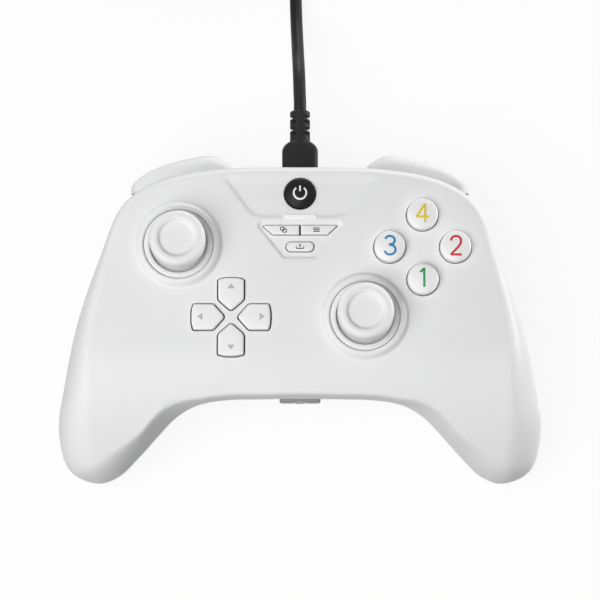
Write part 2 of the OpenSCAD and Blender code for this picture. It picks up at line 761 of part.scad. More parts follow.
module trigger_frame(side) {
  w = 2 * (ear_in + ear_t);
  color(dark)
  at_trigger(side)
  difference() {
    union() {
      translate([-foot_w / 2, -9, frame_z])
        cube([foot_w, 4, 2]);
      translate([-foot_w / 2, -9, frame_z])
        cube([foot_w, 2, ear_low - frame_z + 1]);
      translate([-w / 2, -9, ear_low])
        cube([w, 2, board_low - 0.6 - ear_low]);
      for (s = [-1, 1]) {
        translate([s * (ear_in + ear_t / 2) - ear_t / 2, -9, ear_low])
          cube([ear_t, 9, trig_z + 3.2 - ear_low]);
        translate([s * (ear_in + ear_t / 2) + ear_t / 2, 0, trig_z])
          rotate([0, -90, 0])
            cylinder(r = 3.2, h = ear_t, $fn = 40);
      }
      translate([bump_at[0], bump_at[1], frame_z])
        cylinder(r = 2.3, h = bump_z - 0.3 - frame_z);
      translate([-ear_in - ear_t, 0, frame_z])
        cube([ear_t, 2.5, trig_z - frame_z]);
      translate([5, -shelf_d - 0.2, bump_z - 0.5])
        cube([ear_in + ear_t - 5, shelf_d, 0.9]);
      translate([ear_in, -shelf_d - 0.2, trig_z])
        cube([ear_t, shelf_d, bump_z - trig_z]);
    }
    translate([w, 0, trig_z])
      rotate([0, -90, 0])
        cylinder(r = trig_pin_r + 0.02, h = 2 * w, $fn = 40);
    translate([bump_at[0], bump_at[1], 15])
      cylinder(r = bump_pin_r + 0.02, h = 20, $fn = 40);
    for (s = [-1, 1])
      translate([s * stake_x, -7, frame_z - 1])
        cylinder(r = 1.1, h = 4.6);
  }
}

module left_trigger_frame() { trigger_frame(-1); }
module right_trigger_frame() { trigger_frame(1); }

module bumper_switches() {
  color(dark)
  for (side = [-1, 1])
    at_trigger(side) {
      translate([6, -4.4, bump_z + 0.4])
        cube([6, 3.6, 4]);
      translate([9, -0.9, bump_z + 2.4])
        rotate([-90, 0, 0])
          cylinder(r = 1.2, h = 2);
    }
}

// Keys

module round_key(r, top, flange, bottom) {
  rotate_extrude($fn = 48)
    polygon(concat([[0, bottom], [r * 0.6, bottom], [r * 0.6, flange - flange_t]],
      [[r + 1, flange - flange_t], [r + 1, flange], [r, flange], [r, top - 1.1]],
      arc([r - 0.7, top - 1.1], 0.7, 20, 80, 3),
      [for (k = [1 : 5]) [(r - 0.7) * (1 - k / 5), top - 0.4 * pow(1 - k / 5, 2)]]));
}

under = face_z - wall - part_clear;
flange_t = 1.4;
key_stem = 33.5;
small_stem = 36;
option_stem_x = 5.5;
pad_rest = 0.3;
deep_flange = under - 1.2 - flange_t;

module face_key(k) {
  color(white)
  translate([face_keys[k][0], face_keys[k][1], 0])
    round_key(face_key_r, face_z + face_key_h, under - 0.6, key_stem);
}

module face_button_north() { face_key(0); }
module face_button_south() { face_key(1); }
module face_button_east() { face_key(2); }
module face_button_west() { face_key(3); }

module dpad_key(a) {
  color(white)
  translate([-dpad_x, dpad_y, 0])
    rotate([0, 0, a]) {
      translate([0, 0, deep_flange])
        linear_extrude(face_z + dpad_key_h - deep_flange)
          polygon(dpad_points(0));
      translate([-dpad_key_w / 2 + 0.4, dpad_reach - 3, deep_flange])
        cube([dpad_key_w - 0.8, 3.6, flange_t]);
      translate([0, dpad_reach - 4.3, key_stem])
        cylinder(r = 2.6, h = under - key_stem);
    }
}

module dpad_up() { dpad_key(0); }
module dpad_down() { dpad_key(180); }
module dpad_left() { dpad_key(90); }
module dpad_right() { dpad_key(-90); }

module home_button() {
  color(dark)
  translate([0, home_y, 0])
    round_key(home_r, face_z + home_h, deep_flange + flange_t, small_stem);
}

module option_key(s) {
  color(white)
  mirror([s < 0 ? 1 : 0, 0, 0])
  translate([0, option_y, 0]) {
    translate([0, 0, under - 1.2])
      linear_extrude(face_z - recess_depth + small_key_h - under + 1.2)
        polygon(option_points(0));
    translate([2, -option_d / 2 + 0.2, under - 1.2])
      cube([option_w - 0.6, option_d + 0.4, 1.2]);
    translate([option_stem_x, 0, small_stem])
      cylinder(r = 1.3, h = under - small_stem);
  }
}

module view_button() { option_key(-1); }
module menu_button() { option_key(1); }

module share_button() {
  color(white)
  translate([0, share_y, 0]) {
    translate([0, 0, under - 1.2])
      linear_extrude(face_z - recess_depth + small_key_h - under + 1.2)
        polygon(pad_points(share_w, share_d, 1.2));
    translate([-share_w / 2 - 0.8, -share_d / 2 + 0.2, under - 1.2])
      cube([share_w + 1.6, share_d - 0.4, 1.2]);
    translate([0, 0, small_stem])
      cylinder(r = 1.4, h = under - small_stem);
  }
}

// Silicone pads on the board: a sheet with a dome below each key

module pad_dome(p, top, r) {
  translate([p[0], p[1], board_z])
    cylinder(r1 = r + 1, r2 = r, h = top - board_z);
}

module face_button_pad() {
  color(grey) {
    translate([0, 0, board_z])
      linear_extrude(1)
        polygon(concat(arc(face_keys[2], 3.9, -45, 45, 5), arc(face_keys[0], 3.9, 45, 135, 5),
          arc(face_keys[3], 3.9, 135, 225, 5), arc(face_keys[1], 3.9, 225, 315, 5)));
    for (p = face_keys)
      pad_dome(p, key_stem - pad_rest - key_travel, 2.6);
  }
}

module dpad_pad() {
  color(grey)
  translate([-dpad_x, dpad_y, 0]) {
    translate([0, 0, board_z])
      linear_extrude(1)
        polygon(pad_points(2 * dpad_reach - 0.6, 2 * dpad_reach - 0.6, 6));
    for (a = [0, 90, 180, 270])
      rotate([0, 0, a])
        pad_dome([0, dpad_reach - 4.3], key_stem - pad_rest - key_travel, 2);
  }
}

module centre_button_pad() {
  color(grey) {
    translate([0, option_y + 0.7, board_z])
      linear_extrude(1)
        polygon(pad_points(17, 18, 2));
    pad_dome([0, home_y - 3.2], small_stem - 3, 1.2);
    for (p = [[option_stem_x, option_y], [-option_stem_x, option_y], [0, share_y]])
      pad_dome(p, small_stem - pad_rest - small_travel, 0.8);
  }
}

// Stick modules, drawn about the crossing of the axes

module at_stick(k) {
  translate([stick_spots[k][0], stick_spots[k][1], pivot_z])
    children();
}

module stick_cap(k) {
  top = cap_rise + cap_h;
  dome_in = dome_r - 1;
  color(white)
  at_stick(k)
    rotate_extrude($fn = 64)
      polygon(concat(
        [[shaft_r + 0.02, 7.6], [4, 7.6]],
        [[4, sqrt(dome_in * dome_in - 16)]],
        arc([0, 0], dome_in, 72, 22, 8), arc([0, 0], dome_r, 22, acos(neck_r / dome_r), 8),
        [[neck_r, cap_rise - 2.2], [neck_r + 0.4, cap_rise - 1.1], [cap_r - 3.6, cap_rise - 0.2],
          [cap_r - 2.4, cap_rise], [cap_r - 1.6, cap_rise - 0.05], [cap_r - 1, cap_rise - 0.5]],
        arc([cap_r - 0.6, cap_rise + 0.1], 0.6, -90, 0, 3),
        arc([cap_r - 1.7, top - 1.7], 1.7, 0, 100, 5),
        [[dish_r + 0.5, top - 0.35], [dish_r, top - dish_depth], [0, top - dish_depth],
          [0, top - 3.2], [shaft_r + 0.02, top - 3.2]]));
}

// Smooth ring that the neck leans on, let into the face on a ledge
module stick_ring(k) {
  r = stick_hole_r - 0.25;
  low = face_z + seat_z + 0.02;
  top = face_z + collar_h * 0.7;
  color(white)
  translate([stick_spots[k][0], stick_spots[k][1], 0])
    rotate_extrude($fn = 64)
      polygon([[ring_hole_r, low], [r, low], [r, top - 0.15], [r - 0.15, top], [ring_hole_r + 0.6, top],
        [ring_hole_r + 0.2, top - 0.15], [ring_hole_r, top - 0.5]]);
}

module stick_shaft(k) {
  color(grey)
  at_stick(k)
  difference() {
    union() {
      translate([0, 0, 2])
        cylinder(r = shaft_r, h = cap_rise + cap_h - 3.3 - 2, $fn = 40);
      translate([-2, -1.5, -2.4])
        cube([4, 3, 4.6]);
    }
    for (z = [0, click])
      translate([0, 5, z])
        rotate([90, 0, 0])
          cylinder(r = 0.95, h = 10, $fn = 32);
    translate([-0.95, -5, 0])
      cube([1.9, 10, click]);
  }
}

module stick_pin(k) {
  color(steel)
  at_stick(k)
    translate([0, 4.3, 0])
      rotate([90, 0, 0])
        cylinder(r = 0.9, h = 8.6, $fn = 32);
}

module stick_yoke(k) {
  color(dark)
  at_stick(k)
  difference() {
    union() {
      translate([-4.6, -3.3, -1.6])
        cube([9.2, 6.6, 3.2]);
      translate([8.6, 0, 0])
        rotate([0, -90, 0])
          cylinder(r = 1.3, h = 17.2, $fn = 32);
    }
    translate([-3.4, -2.1, -3])
      cube([6.8, 4.2, 6]);
    translate([0, 6, 0])
      rotate([90, 0, 0])
        cylinder(r = 0.94, h = 12, $fn = 32);
  }
}

module stick_arch(k) {
  color(grey)
  at_stick(k)
  difference() {
    union() {
      intersection() {
        translate([3.4, 0, 0])
          rotate([0, -90, 0])
            difference() {
              cylinder(r = 6.4, h = 6.8, $fn = 48);
              translate([0, 0, -1])
                cylinder(r = 5.3, h = 9, $fn = 48);
            }
        translate([-5, -10, -1.3])
          cube([10, 20, 12]);
      }
      for (s = [-1, 1])
        translate([0, s * 8.6, 0])
          rotate([s * 90, 0, 0])
            cylinder(r = 1.3, h = 3.2, $fn = 32);
    }
    translate([-shaft_r - 0.25, -4.6, 0])
      cube([2 * shaft_r + 0.5, 9.2, 12]);
  }
}

module stick_base(k) {
  low = board_z - pivot_z;
  color(steel)
  at_stick(k)
  difference() {
    translate([-8, -8, low])
      cube([16, 16, 2.6 - low]);
    translate([-7, -7, low + 1])
      cube([14, 14, 20]);
    translate([12, 0, 0])
      rotate([0, -90, 0])
        cylinder(r = 1.34, h = 24, $fn = 32);
    translate([0, 12, 0])
      rotate([90, 0, 0])
        cylinder(r = 1.34, h = 24, $fn = 32);
  }
}

module stick_sensors(k) {
  s = k == 0 ? 1 : -1;
  low = board_z - pivot_z;
  color(dark)
  at_stick(k)
  difference() {
    union() {
      translate([s > 0 ? 8 : -10.6, -4.5, low])
        cube([2.6, 9, 2.6 - low]);
      translate([-4.5, 8, low])
        cube([9, 2.6, 2.6 - low]);
    }
    translate([12, 0, 0])
      rotate([0, -90, 0])
        cylinder(r = 1.34, h = 24, $fn = 32);
    translate([0, 12, 0])
      rotate([90, 0, 0])
        cylinder(r = 1.34, h = 24, $fn = 32);
  }
}

module left_stick_ring() { stick_ring(0); }
module right_stick_ring() { stick_ring(1); }
module left_stick_cap() { stick_cap(0); }
module right_stick_cap() { stick_cap(1); }
module left_stick_shaft() { stick_shaft(0); }
module right_stick_shaft() { stick_shaft(1); }
module left_stick_pin() { stick_pin(0); }
module right_stick_pin() { stick_pin(1); }
module left_stick_yoke() { stick_yoke(0); }
module right_stick_yoke() { stick_yoke(1); }
module left_stick_arch() { stick_arch(0); }
module right_stick_arch() { stick_arch(1); }
module left_stick_base() { stick_base(0); }
module right_stick_base() { stick_base(1); }
module left_stick_sensors() { stick_sensors(0); }
module right_stick_sensors() { stick_sensors(1); }

// Board, motors, socket and screws

module main_board() {
  color(green)
  difference() {
    translate([0, 0, board_low])
      linear_extrude(board_t)
        intersection() {
          polygon(outline(wall + 1.2));
          translate([-board_w / 2, -21.4])
            square([board_w, 56.6]);
        }
    for (side = [-1, 1])
      at_trigger(side)
        translate([-22, -9.6, 0])
          difference() {
            cube([44, 40, 40]);
            translate([22 - ear_in + 0.7, -1, -1])
              cube([2 * ear_in - 1.4, 6.2, 50]);
          }
    for (p = side_posts)
      translate([p[0], p[1], 0])
        cylinder(r = tube_r + 0.4, h = 40);
    for (p = inner_posts)
      translate([p[0], p[1], 0])
        cylinder(r = screw_r + 0.3, h = 40);
  }
}

module motor(s) {
  color(steel)
  translate([s * motor_x, motor_back, motor_z])
    rotate([90, 0, 0]) {
      cylinder(r = motor_r, h = motor_l, $fn = 64);
      cylinder(r = 1, h = motor_l + 7, $fn = 32);
    }
}

module left_motor() { motor(-1); }
module right_motor() { motor(1); }

module motor_weight(s) {
  color(grey)
  translate([s * motor_x, motor_back - motor_l - 1.4, motor_z])
    rotate([90, 0, 0])
      difference() {
        union() {
          intersection() {
            cylinder(r = motor_r - 0.2, h = 4.6, $fn = 64);
            translate([-10, -12, -1])
              cube([20, 11.4, 8]);
          }
          cylinder(r = 2.2, h = 4.6, $fn = 40);
        }
        translate([0, 0, -1])
          cylinder(r = 1 + pin_gap, h = 8, $fn = 32);
      }
}

module left_motor_weight() { motor_weight(-1); }
module right_motor_weight() { motor_weight(1); }

module headset_jack() {
  color(grey)
  difference() {
    translate([0, jack_y, jack_z])
      rotate([-90, 0, 0])
        linear_extrude(15)
          polygon(pad_points(jack_w, jack_h, 1.2));
    translate([0, jack_y - 1, jack_z])
      rotate([-90, 0, 0])
        cylinder(r = jack_r, h = 15, $fn = 48);
  }
}

module shell_screws() {
  color(steel)
  for (p = concat([for (p = inner_posts) [p[0], p[1], board_low]], 
      [for (p = concat(side_posts, grip_posts)) [p[0], p[1], plane_z(p[1]) - seam / 2]]))
    translate([p[0], p[1], p[2] - 3.5]) {
      cylinder(r = screw_r, h = screw_l);
      difference() {
        translate([0, 0, -1.8])
          cylinder(r = screw_head_r, h = 1.8, $fn = 40);
        for (a = [0, 90])
          rotate([0, 0, a])
            translate([-1.5, -0.3, -2])
              cube([3, 0.6, 1.1]);
      }
    }
}

// Lead

boot_end = top_edge_y + boot_l;
boot_in = top_edge_y - 6.1;
boot_flange = 1.6;
relief_end = boot_end + relief_l;

module cable_boot() {
  color(dark)
  difference() {
    union() {
      translate([0, boot_in, boot_z])
        rotate([-90, 0, 0])
          linear_extrude(boot_flange)
            polygon(pad_points(boot_w + 3, boot_h + 3, 2));
      translate([0, boot_in, boot_z])
        rotate([-90, 0, 0])
          linear_extrude(boot_end - boot_in - 3.5)
            polygon(pad_points(boot_w, boot_h, 2));
      hull()
        for (h = [0, 1.3, 2.3, 3, 3.5])
          translate([0, boot_end - 3.6 + h, boot_z])
            rotate([-90, 0, 0])
              linear_extrude(0.1)
                polygon(pad_points(boot_w * sqrt(1 - pow(h / 4.35, 2)), boot_h - 0.1 * h * h, 2));
      translate([0, 0, boot_z])
        rotate([-90, 0, 0])
          rotate_extrude($fn = 40)
            polygon(concat([[0, boot_end - 1], [relief_r, boot_end - 1]],
              [for (k = [0 : 2]) for (q = [[0, 1.2], [-0.6, 1.3], [-0.6, 2.3], [0, 2.4]])
                  [relief_r + q[0], boot_end + 0.3 + k * 3 + q[1]]],
              [[relief_r, relief_end - 0.5], [relief_r - 0.5, relief_end], [0, relief_end]]));
    }
    translate([0, 46, boot_z])
      rotate([-90, 0, 0])
        cylinder(r = cord_r + 0.07, h = 40, $fn = 32);
  }
}

// Route of the free stretch and of the short tail to the plug
lead_route = [[0, relief_end - 4, boot_z], [0, relief_end + 3, boot_z], [-0.1, 73, boot_z - 0.5],
  [-0.3, 80, 23.2], [-0.6, 88, 16.6], [-0.9, 96, 9.6], [-1.2, 104, 4.8], [-1.4, 112, 2.6],
  [cord_x, 120, 2.1], [cord_x, 130, 2.2], [cord_x, 138, coil_z - 0.2],
  [cord_x, coil_y - cord_d - 0.03, coil_z]];
coil_top = coil_z + 3 * coil_pitch;
plug_at = [-38, 190.5, 4.6];
tail_route = [[cord_x, coil_y + cord_d + 0.03, coil_top], [cord_x, coil_y + 8, coil_top - 0.2],
  [-2, 163, 14.6],
  [-5.5, 172.5, 11.4], [-13, 181.5, 8.2], [-23, 187.5, 5.6], [-32, 189.8, 4.8], plug_at];

module usb_cable() {
  lead = curve_through(lead_route, 2);
  tail = curve_through(tail_route, 2);
  color(dark) {
    tube(lead, cord_r, 8);
    tube(tail, cord_r, 8);
  }
  echo(lead_length = path_length(lead) + path_length(tail));
}

// Put-away turns: in, out, in and out again, one layer above the other
function coil_radius(t) =
  let (q = t / coil_turns, f = q - 2 * floor(q / 2))
  hook_r - coil_turns * coil_pitch * (f < 1 ? f : 2 - f);
function coil_climb(t) =
  coil_pitch * ([for (k = [1 : 3]) clamp01((t - k * coil_turns) * 2 + 0.5)] * [1, 1, 1]);
coil_rings = 24 * 4 * coil_turns;
coil_path = concat(
  [[coil_x + hook_r, coil_y - cord_d, coil_z]],
  [for (k = [0 : coil_rings]) let (t = k / 24)
      [coil_x + coil_radius(t) * cos(360 * t), coil_y + coil_radius(t) * sin(360 * t),
        coil_z + coil_climb(t)]],
  [[coil_x + hook_r, coil_y + cord_d, coil_top]]);

module usb_cable_coil() {
  color(dark)
    tube(coil_path, cord_r, 6);
  least = min([for (a = [0 : len(coil_path) - 1]) for (b = [a + 12 : 1 : len(coil_path) - 1])
      norm(coil_path[a] - coil_path[b])]) - cord_d;
  echo(coil_least_gap = least, coil_length = path_length(coil_path));
}

module cable_tie() {
  wide = coil_turns * coil_pitch + cord_d + 1.9;
  high = 3 * coil_pitch + cord_d + 0.8;
  color(dark)
  translate([coil_x - coil_mean_r + 0.3, coil_y + 4.5, coil_z + 1.5 * coil_pitch])
    rotate([90, 0, 0])
      linear_extrude(9)
        difference() {
          polygon(pad_points(wide + 1.4, high + 1.4, 2.7));
          polygon(pad_points(wide, high, 2));
        }
}

module usb_plug() {
  translate(plug_at)
    rotate([0, 0, 180]) {
      color(dark)
      difference() {
        rotate([90, 0, 90])
          linear_extrude(22)
            polygon(pad_points(15, 8, 2));
        translate([-1, 0, 0])
          rotate([0, 90, 0])
            cylinder(r = cord_r + 0.07, h = 1.2, $fn = 32);
      }
      color(steel)
      translate([22, 0, 0])
        difference() {
          translate([-1, -6, -2.25])
            cube([13, 12, 4.5]);
          translate([0.2, -5.7, -1.95])
            cube([14, 11.4, 2]);
        }
    }
}

front_shell();
rear_shell();
left_bumper();
right_bumper();
left_trigger();
right_trigger();
left_trigger_frame();
right_trigger_frame();
left_trigger_pin();
right_trigger_pin();
left_trigger_spring();
right_trigger_spring();
bumper_pins();
bumper_switches();
home_button();
view_button();
menu_button();
share_button();
dpad_up();
dpad_down();
dpad_left();
dpad_right();
face_button_north();
face_button_south();
face_button_east();
face_button_west();
left_stick_ring();
right_stick_ring();
left_stick_cap();
right_stick_cap();
left_stick_shaft();
right_stick_shaft();
left_stick_pin();
right_stick_pin();
left_stick_yoke();
right_stick_yoke();
left_stick_arch();
right_stick_arch();
left_stick_base();
right_stick_base();
left_stick_sensors();
right_stick_sensors();
main_board();
face_button_pad();
dpad_pad();
centre_button_pad();
left_motor();
right_motor();
left_motor_weight();
right_motor_weight();
headset_jack();
cable_boot();
usb_cable();
usb_cable_coil();
usb_plug();
cable_tie();
shell_screws();
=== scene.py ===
"""Picture model of a wired two-stick gamepad with its lead, in metres on the shared frame."""
import math

import bmesh
import bpy
import numpy as np
from mathutils import Matrix, Vector
from mathutils.bvhtree import BVHTree
from mathutils.geometry import delaunay_2d_cdt


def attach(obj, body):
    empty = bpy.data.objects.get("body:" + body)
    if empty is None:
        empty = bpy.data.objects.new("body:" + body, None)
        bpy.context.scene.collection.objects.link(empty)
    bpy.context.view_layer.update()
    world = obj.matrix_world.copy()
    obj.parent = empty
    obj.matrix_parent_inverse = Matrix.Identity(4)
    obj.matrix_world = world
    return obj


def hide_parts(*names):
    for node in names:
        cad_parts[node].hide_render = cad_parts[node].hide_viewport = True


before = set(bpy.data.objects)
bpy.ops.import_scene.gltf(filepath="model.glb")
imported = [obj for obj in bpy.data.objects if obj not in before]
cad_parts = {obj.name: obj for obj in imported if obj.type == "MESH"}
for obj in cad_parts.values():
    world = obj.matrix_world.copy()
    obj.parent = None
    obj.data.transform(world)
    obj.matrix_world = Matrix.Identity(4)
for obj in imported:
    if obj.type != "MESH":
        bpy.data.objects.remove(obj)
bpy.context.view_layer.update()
scene = bpy.context.scene
MM = 0.001

# Camera: high above the face, a little on the player's side
look_at = Vector((0.0, 5.5, 30.0)) * MM
camera_tilt = math.radians(10.0)
camera_reach = 0.75
camera_data = bpy.data.cameras.new("camera")
camera_data.sensor_width = 36.0
camera_data.lens = 143.5
camera_data.clip_start = 0.01
camera = bpy.data.objects.new("camera", camera_data)
scene.collection.objects.link(camera)
camera.location = look_at + camera_reach * Vector((0.0, -math.sin(camera_tilt), math.cos(camera_tilt)))
camera.rotation_euler = (camera_tilt, 0.0, 0.0)
scene.camera = camera
scene.view_settings.view_transform = "Standard"


# Sums and curves shared by the pieces

def mix(a, b, t):
    return a + (b - a) * t


def smooth(t):
    c = np.clip(t, 0.0, 1.0)
    return c * c * (3.0 - 2.0 * c)


def unit(v):
    return v / max(float(np.linalg.norm(v)), 1e-9)


def curve_span(a, b, c, d, t):
    """Point on the span from b to c of a smooth curve through four points."""
    da = math.sqrt(max(float(np.linalg.norm(b - a)), 0.001))
    db = math.sqrt(max(float(np.linalg.norm(c - b)), 0.001))
    dc = math.sqrt(max(float(np.linalg.norm(d - c)), 0.001))
    m1 = db * ((b - a) / da - (c - a) / (da + db) + (c - b) / db)
    m2 = db * ((c - b) / db - (d - b) / (db + dc) + (d - c) / dc)
    near = (2 * t ** 3 - 3 * t ** 2 + 1) * b + (t ** 3 - 2 * t ** 2 + t) * m1
    return near + (3 * t ** 2 - 2 * t ** 3) * c + (t ** 3 - t ** 2) * m2


def curve_through(points, steps):
    """Smooth open curve through the points, with so many steps in each span."""
    p = [np.array(q, float) for q in points]
    ends = [2 * p[0] - p[1]] + p + [2 * p[-1] - p[-2]]
    made = []
    for k in range(len(p) - 1):
        for s in range(steps):
            made.append(curve_span(ends[k], ends[k + 1], ends[k + 2], ends[k + 3], s / steps))
    made.append(p[-1])
    return made


def circle(middle, radius, sides):
    angles = [2 * math.pi * k / sides for k in range(sides)]
    return [(middle[0] + radius * math.cos(a), middle[1] + radius * math.sin(a)) for a in angles]


def arc(middle, radius, first, last, steps):
    """Points along part of a circle, from one angle in degrees to another."""
    angles = [math.radians(mix(first, last, k / steps)) for k in range(steps + 1)]
    return [(middle[0] + radius * math.cos(a), middle[1] + radius * math.sin(a)) for a in angles]


def grown(corners, by):
    """Corner points of a closed line, turning left, moved outwards by a set amount."""
    p = [np.array(q, float) for q in corners]
    made = []
    for k in range(len(p)):
        first = unit(p[k] - p[k - 1])
        second = unit(p[(k + 1) % len(p)] - p[k])
        out_first = np.array([first[1], -first[0]])
        out_second = np.array([second[1], -second[0]])
        way = unit(out_first + out_second)
        made.append(p[k] + way * by / max(float(way @ out_first), 0.3))
    return made


def rounded(corners, radii, steps=6):
    """Closed line with each corner turned into an arc."""
    p = [np.array(q, float) for q in corners]
    made = []
    for k in range(len(p)):
        before = p[k - 1] - p[k]
        after = p[(k + 1) % len(p)] - p[k]
        to_before = unit(before)
        to_after = unit(after)
        half = math.acos(max(-1.0, min(1.0, float(to_before @ to_after)))) / 2
        room = 0.49 * min(np.linalg.norm(before), np.linalg.norm(after))
        cut = min(radii[k] / math.tan(half), room)
        radius = cut * math.tan(half)
        middle = p[k] + unit(to_before + to_after) * (radius / math.sin(half))
        start = p[k] + to_before * cut - middle
        end = p[k] + to_after * cut - middle
        first = math.atan2(start[1], start[0])
        turn = math.atan2(end[1], end[0]) - first
        turn = (turn + math.pi) % (2 * math.pi) - math.pi
        for s in range(steps + 1):
            angle = first + turn * s / steps
            made.append(middle + radius * np.array([math.cos(angle), math.sin(angle)]))
    return made


def pad_line(width, depth, radius, steps=6):
    """Rounded rectangle about the origin."""
    w = width / 2
    d = depth / 2
    return rounded([(w, -d), (w, d), (-w, d), (-w, -d)], [radius] * 4, steps)


# Finishes, each a procedural node material

class Shade:
    """A number inside a finish that takes part in Python sums."""

    def __init__(self, finish, socket):
        self.finish = finish
        self.socket = socket

    def reckon(self, operation, *others):
        return self.finish.put("ShaderNodeMath", {"operation": operation}, dict(enumerate((self, *others))))

    def __add__(self, other):
        return self.reckon("ADD", other)

    __radd__ = __add__

    def __sub__(self, other):
        return self.reckon("SUBTRACT", other)

    def __rsub__(self, other):
        return self.reckon("MULTIPLY", -1.0) + other

    def __mul__(self, other):
        return self.reckon("MULTIPLY", other)

    __rmul__ = __mul__

    def __gt__(self, other):
        return self.reckon("GREATER_THAN", other)


class Finish:
    """Node tree of one finish or of the surroundings, with one method that adds any node."""

    def __init__(self, owner):
        self.owner = owner
        owner.use_nodes = True
        self.tree = owner.node_tree
        self.tree.nodes.clear()

    def put(self, kind, settings, sockets, result=0):
        node = self.tree.nodes.new(kind)
        for key, value in settings.items():
            setattr(node, key, value)
        for key, value in sockets.items():
            if isinstance(value, Shade):
                self.tree.links.new(value.socket, node.inputs[key])
            else:
                node.inputs[key].default_value = value
        return Shade(self, node.outputs[result] if len(node.outputs) else None)

    def between(self, factor, first, second):
        return self.put("ShaderNodeMix", {"data_type": "RGBA"}, {0: factor, 6: first, 7: second}, 2)

    def place(self):
        return self.put("ShaderNodeTexCoord", {}, {}, "Object")

    def noise(self, where, scale, detail=2.0):
        return self.put("ShaderNodeTexNoise", {}, {"Vector": where, "Scale": scale, "Detail": detail})

    def grained(self, colour, roughness, grains, depth):
        """Sockets of a surface with a fine grain in its gloss and its relief."""
        bump = self.put("ShaderNodeBump", {}, {"Strength": 0.6, "Distance": depth, "Height": grains})
        return {"Base Color": colour, "Roughness": roughness + 0.1 * (grains - 0.5), "Normal": bump}

    def surface(self, sockets):
        shader = self.put("ShaderNodeBsdfPrincipled", {}, sockets)
        self.put("ShaderNodeOutputMaterial", {}, {"Surface": shader})
        return self.owner

    def seen_white(self):
        """One for rays from the camera and for those mirrored or let through on their way to it."""
        straight = self.put("ShaderNodeLightPath", {}, {}, "Is Camera Ray")
        mirrored_ray = self.put("ShaderNodeLightPath", {}, {}, "Is Glossy Ray")
        through = self.put("ShaderNodeLightPath", {}, {}, "Is Transmission Ray")
        return straight + mirrored_ray + through


mottle_scale = 48.0


def rgba(red, green, blue):
    return (red, green, blue, 1.0)


def moulded(name, first, second, roughness, grain=1900.0, depth=0.000012, gloss=0.5):
    """Moulded plastic, rubber or paint: faint broad mottle over a fine eroded grain."""
    f = Finish(bpy.data.materials.new(name))
    where = f.place()
    mottle = f.noise(where, mottle_scale, 3.0)
    grains = f.noise(where, grain)
    colour = f.between(mottle, rgba(*first), rgba(*second))
    sockets = f.grained(colour, roughness, grains, depth)
    sockets["Specular IOR Level"] = gloss
    return f.surface(sockets)


def stick_rubber_and_painted_shade(name, painted_shade_top):
    """White rubber of a thumb cap, with grey painted shade on its dome and neck below one height."""
    f = Finish(bpy.data.materials.new(name))
    where = f.place()
    height = f.put("ShaderNodeSeparateXYZ", {}, {"Vector": where}, 2)
    mottle = f.noise(where, mottle_scale, 3.0)
    grains = f.noise(where, 1700.0)
    rubber = f.between(mottle, rgba(0.79, 0.79, 0.79), rgba(0.83, 0.83, 0.83))
    painted_dome_shade = f.between(mottle, rgba(0.6, 0.6, 0.6), rgba(0.65, 0.65, 0.65))
    # Below the set height the dome and neck turn darker grey: painted shade under the thumb cap.
    colour = f.between(height > painted_shade_top, painted_dome_shade, rubber)
    return f.surface(f.grained(colour, 0.5, grains, 0.00002))


def metal(name, first, second, roughness, stretch):
    """Drawn or rolled metal with fine streaks along one direction."""
    f = Finish(bpy.data.materials.new(name))
    where = f.put("ShaderNodeMapping", {}, {"Vector": f.place(), "Scale": stretch})
    streaks = f.noise(where, 60.0, 4.0)
    stain = f.noise(f.place(), 130.0, 2.0)
    colour = f.between(stain, rgba(*first), rgba(*second))
    bump = f.put("ShaderNodeBump", {}, {"Strength": 0.4, "Distance": 0.00001, "Height": streaks})
    sockets = {"Base Color": colour, "Metallic": 1.0, "Roughness": roughness + 0.2 * (streaks - 0.5)}
    sockets["Normal"] = bump
    return f.surface(sockets)


def board_finish(name):
    """Circuit board: green mask with rows of paler tracks and bright spots."""
    f = Finish(bpy.data.materials.new(name))
    where = f.place()
    tracks = f.put("ShaderNodeTexBrick", {}, {"Vector": where, "Scale": 220.0, "Mortar Size": 0.03}, 1)
    spots = f.put("ShaderNodeTexVoronoi", {}, {"Vector": where, "Scale": 260.0})
    mask = f.between(tracks, rgba(0.01, 0.07, 0.03), rgba(0.03, 0.16, 0.07))
    dot = 1.0 - (spots > 0.16)
    colour = f.between(dot, mask, rgba(0.6, 0.55, 0.4))
    return f.surface({"Base Color": colour, "Roughness": 0.28 + 0.2 * tracks, "Metallic": 0.6 * dot})


low_gloss = 0.25
dark_gloss = 0.12
rubber_gloss = 0.15
white_plastic = moulded("white plastic", (0.80, 0.80, 0.80), (0.84, 0.84, 0.84), 0.45,
    gloss=low_gloss)
key_plastic = moulded("white key plastic", (0.83, 0.83, 0.83), (0.87, 0.87, 0.87), 0.3, 2400.0, 0.000006)
# Height below which the stick's dome and neck are painted grey, as shade under the cap.
painted_shade_top = 0.048
cap_rubber_and_painted_shade = stick_rubber_and_painted_shade("white stick rubber", painted_shade_top)
plate_plastic = moulded("bare plate", (0.93, 0.93, 0.93), (0.96, 0.96, 0.96), 0.35, 2600.0, 0.000005)
gloss_black = moulded("gloss black", (0.008, 0.008, 0.009), (0.014, 0.014, 0.015), 0.34,
    900.0, 0.000003, dark_gloss)
dark_plastic = moulded("dark plastic", (0.022, 0.022, 0.023), (0.032, 0.032, 0.034), 0.45)
jack_plastic = moulded("socket plastic", (0.29, 0.29, 0.29), (0.34, 0.34, 0.34), 0.45,
    gloss=low_gloss)
grey_plastic = moulded("grey plastic", (0.22, 0.22, 0.23), (0.28, 0.28, 0.29), 0.45)
cord_rubber = moulded("lead jacket", (0.012, 0.012, 0.013), (0.018, 0.018, 0.019), 0.5,
    1300.0, 0.00002, rubber_gloss)
boot_rubber = moulded("boot rubber", (0.011, 0.011, 0.012), (0.017, 0.017, 0.018), 0.52,
    1500.0, 0.00002, rubber_gloss)
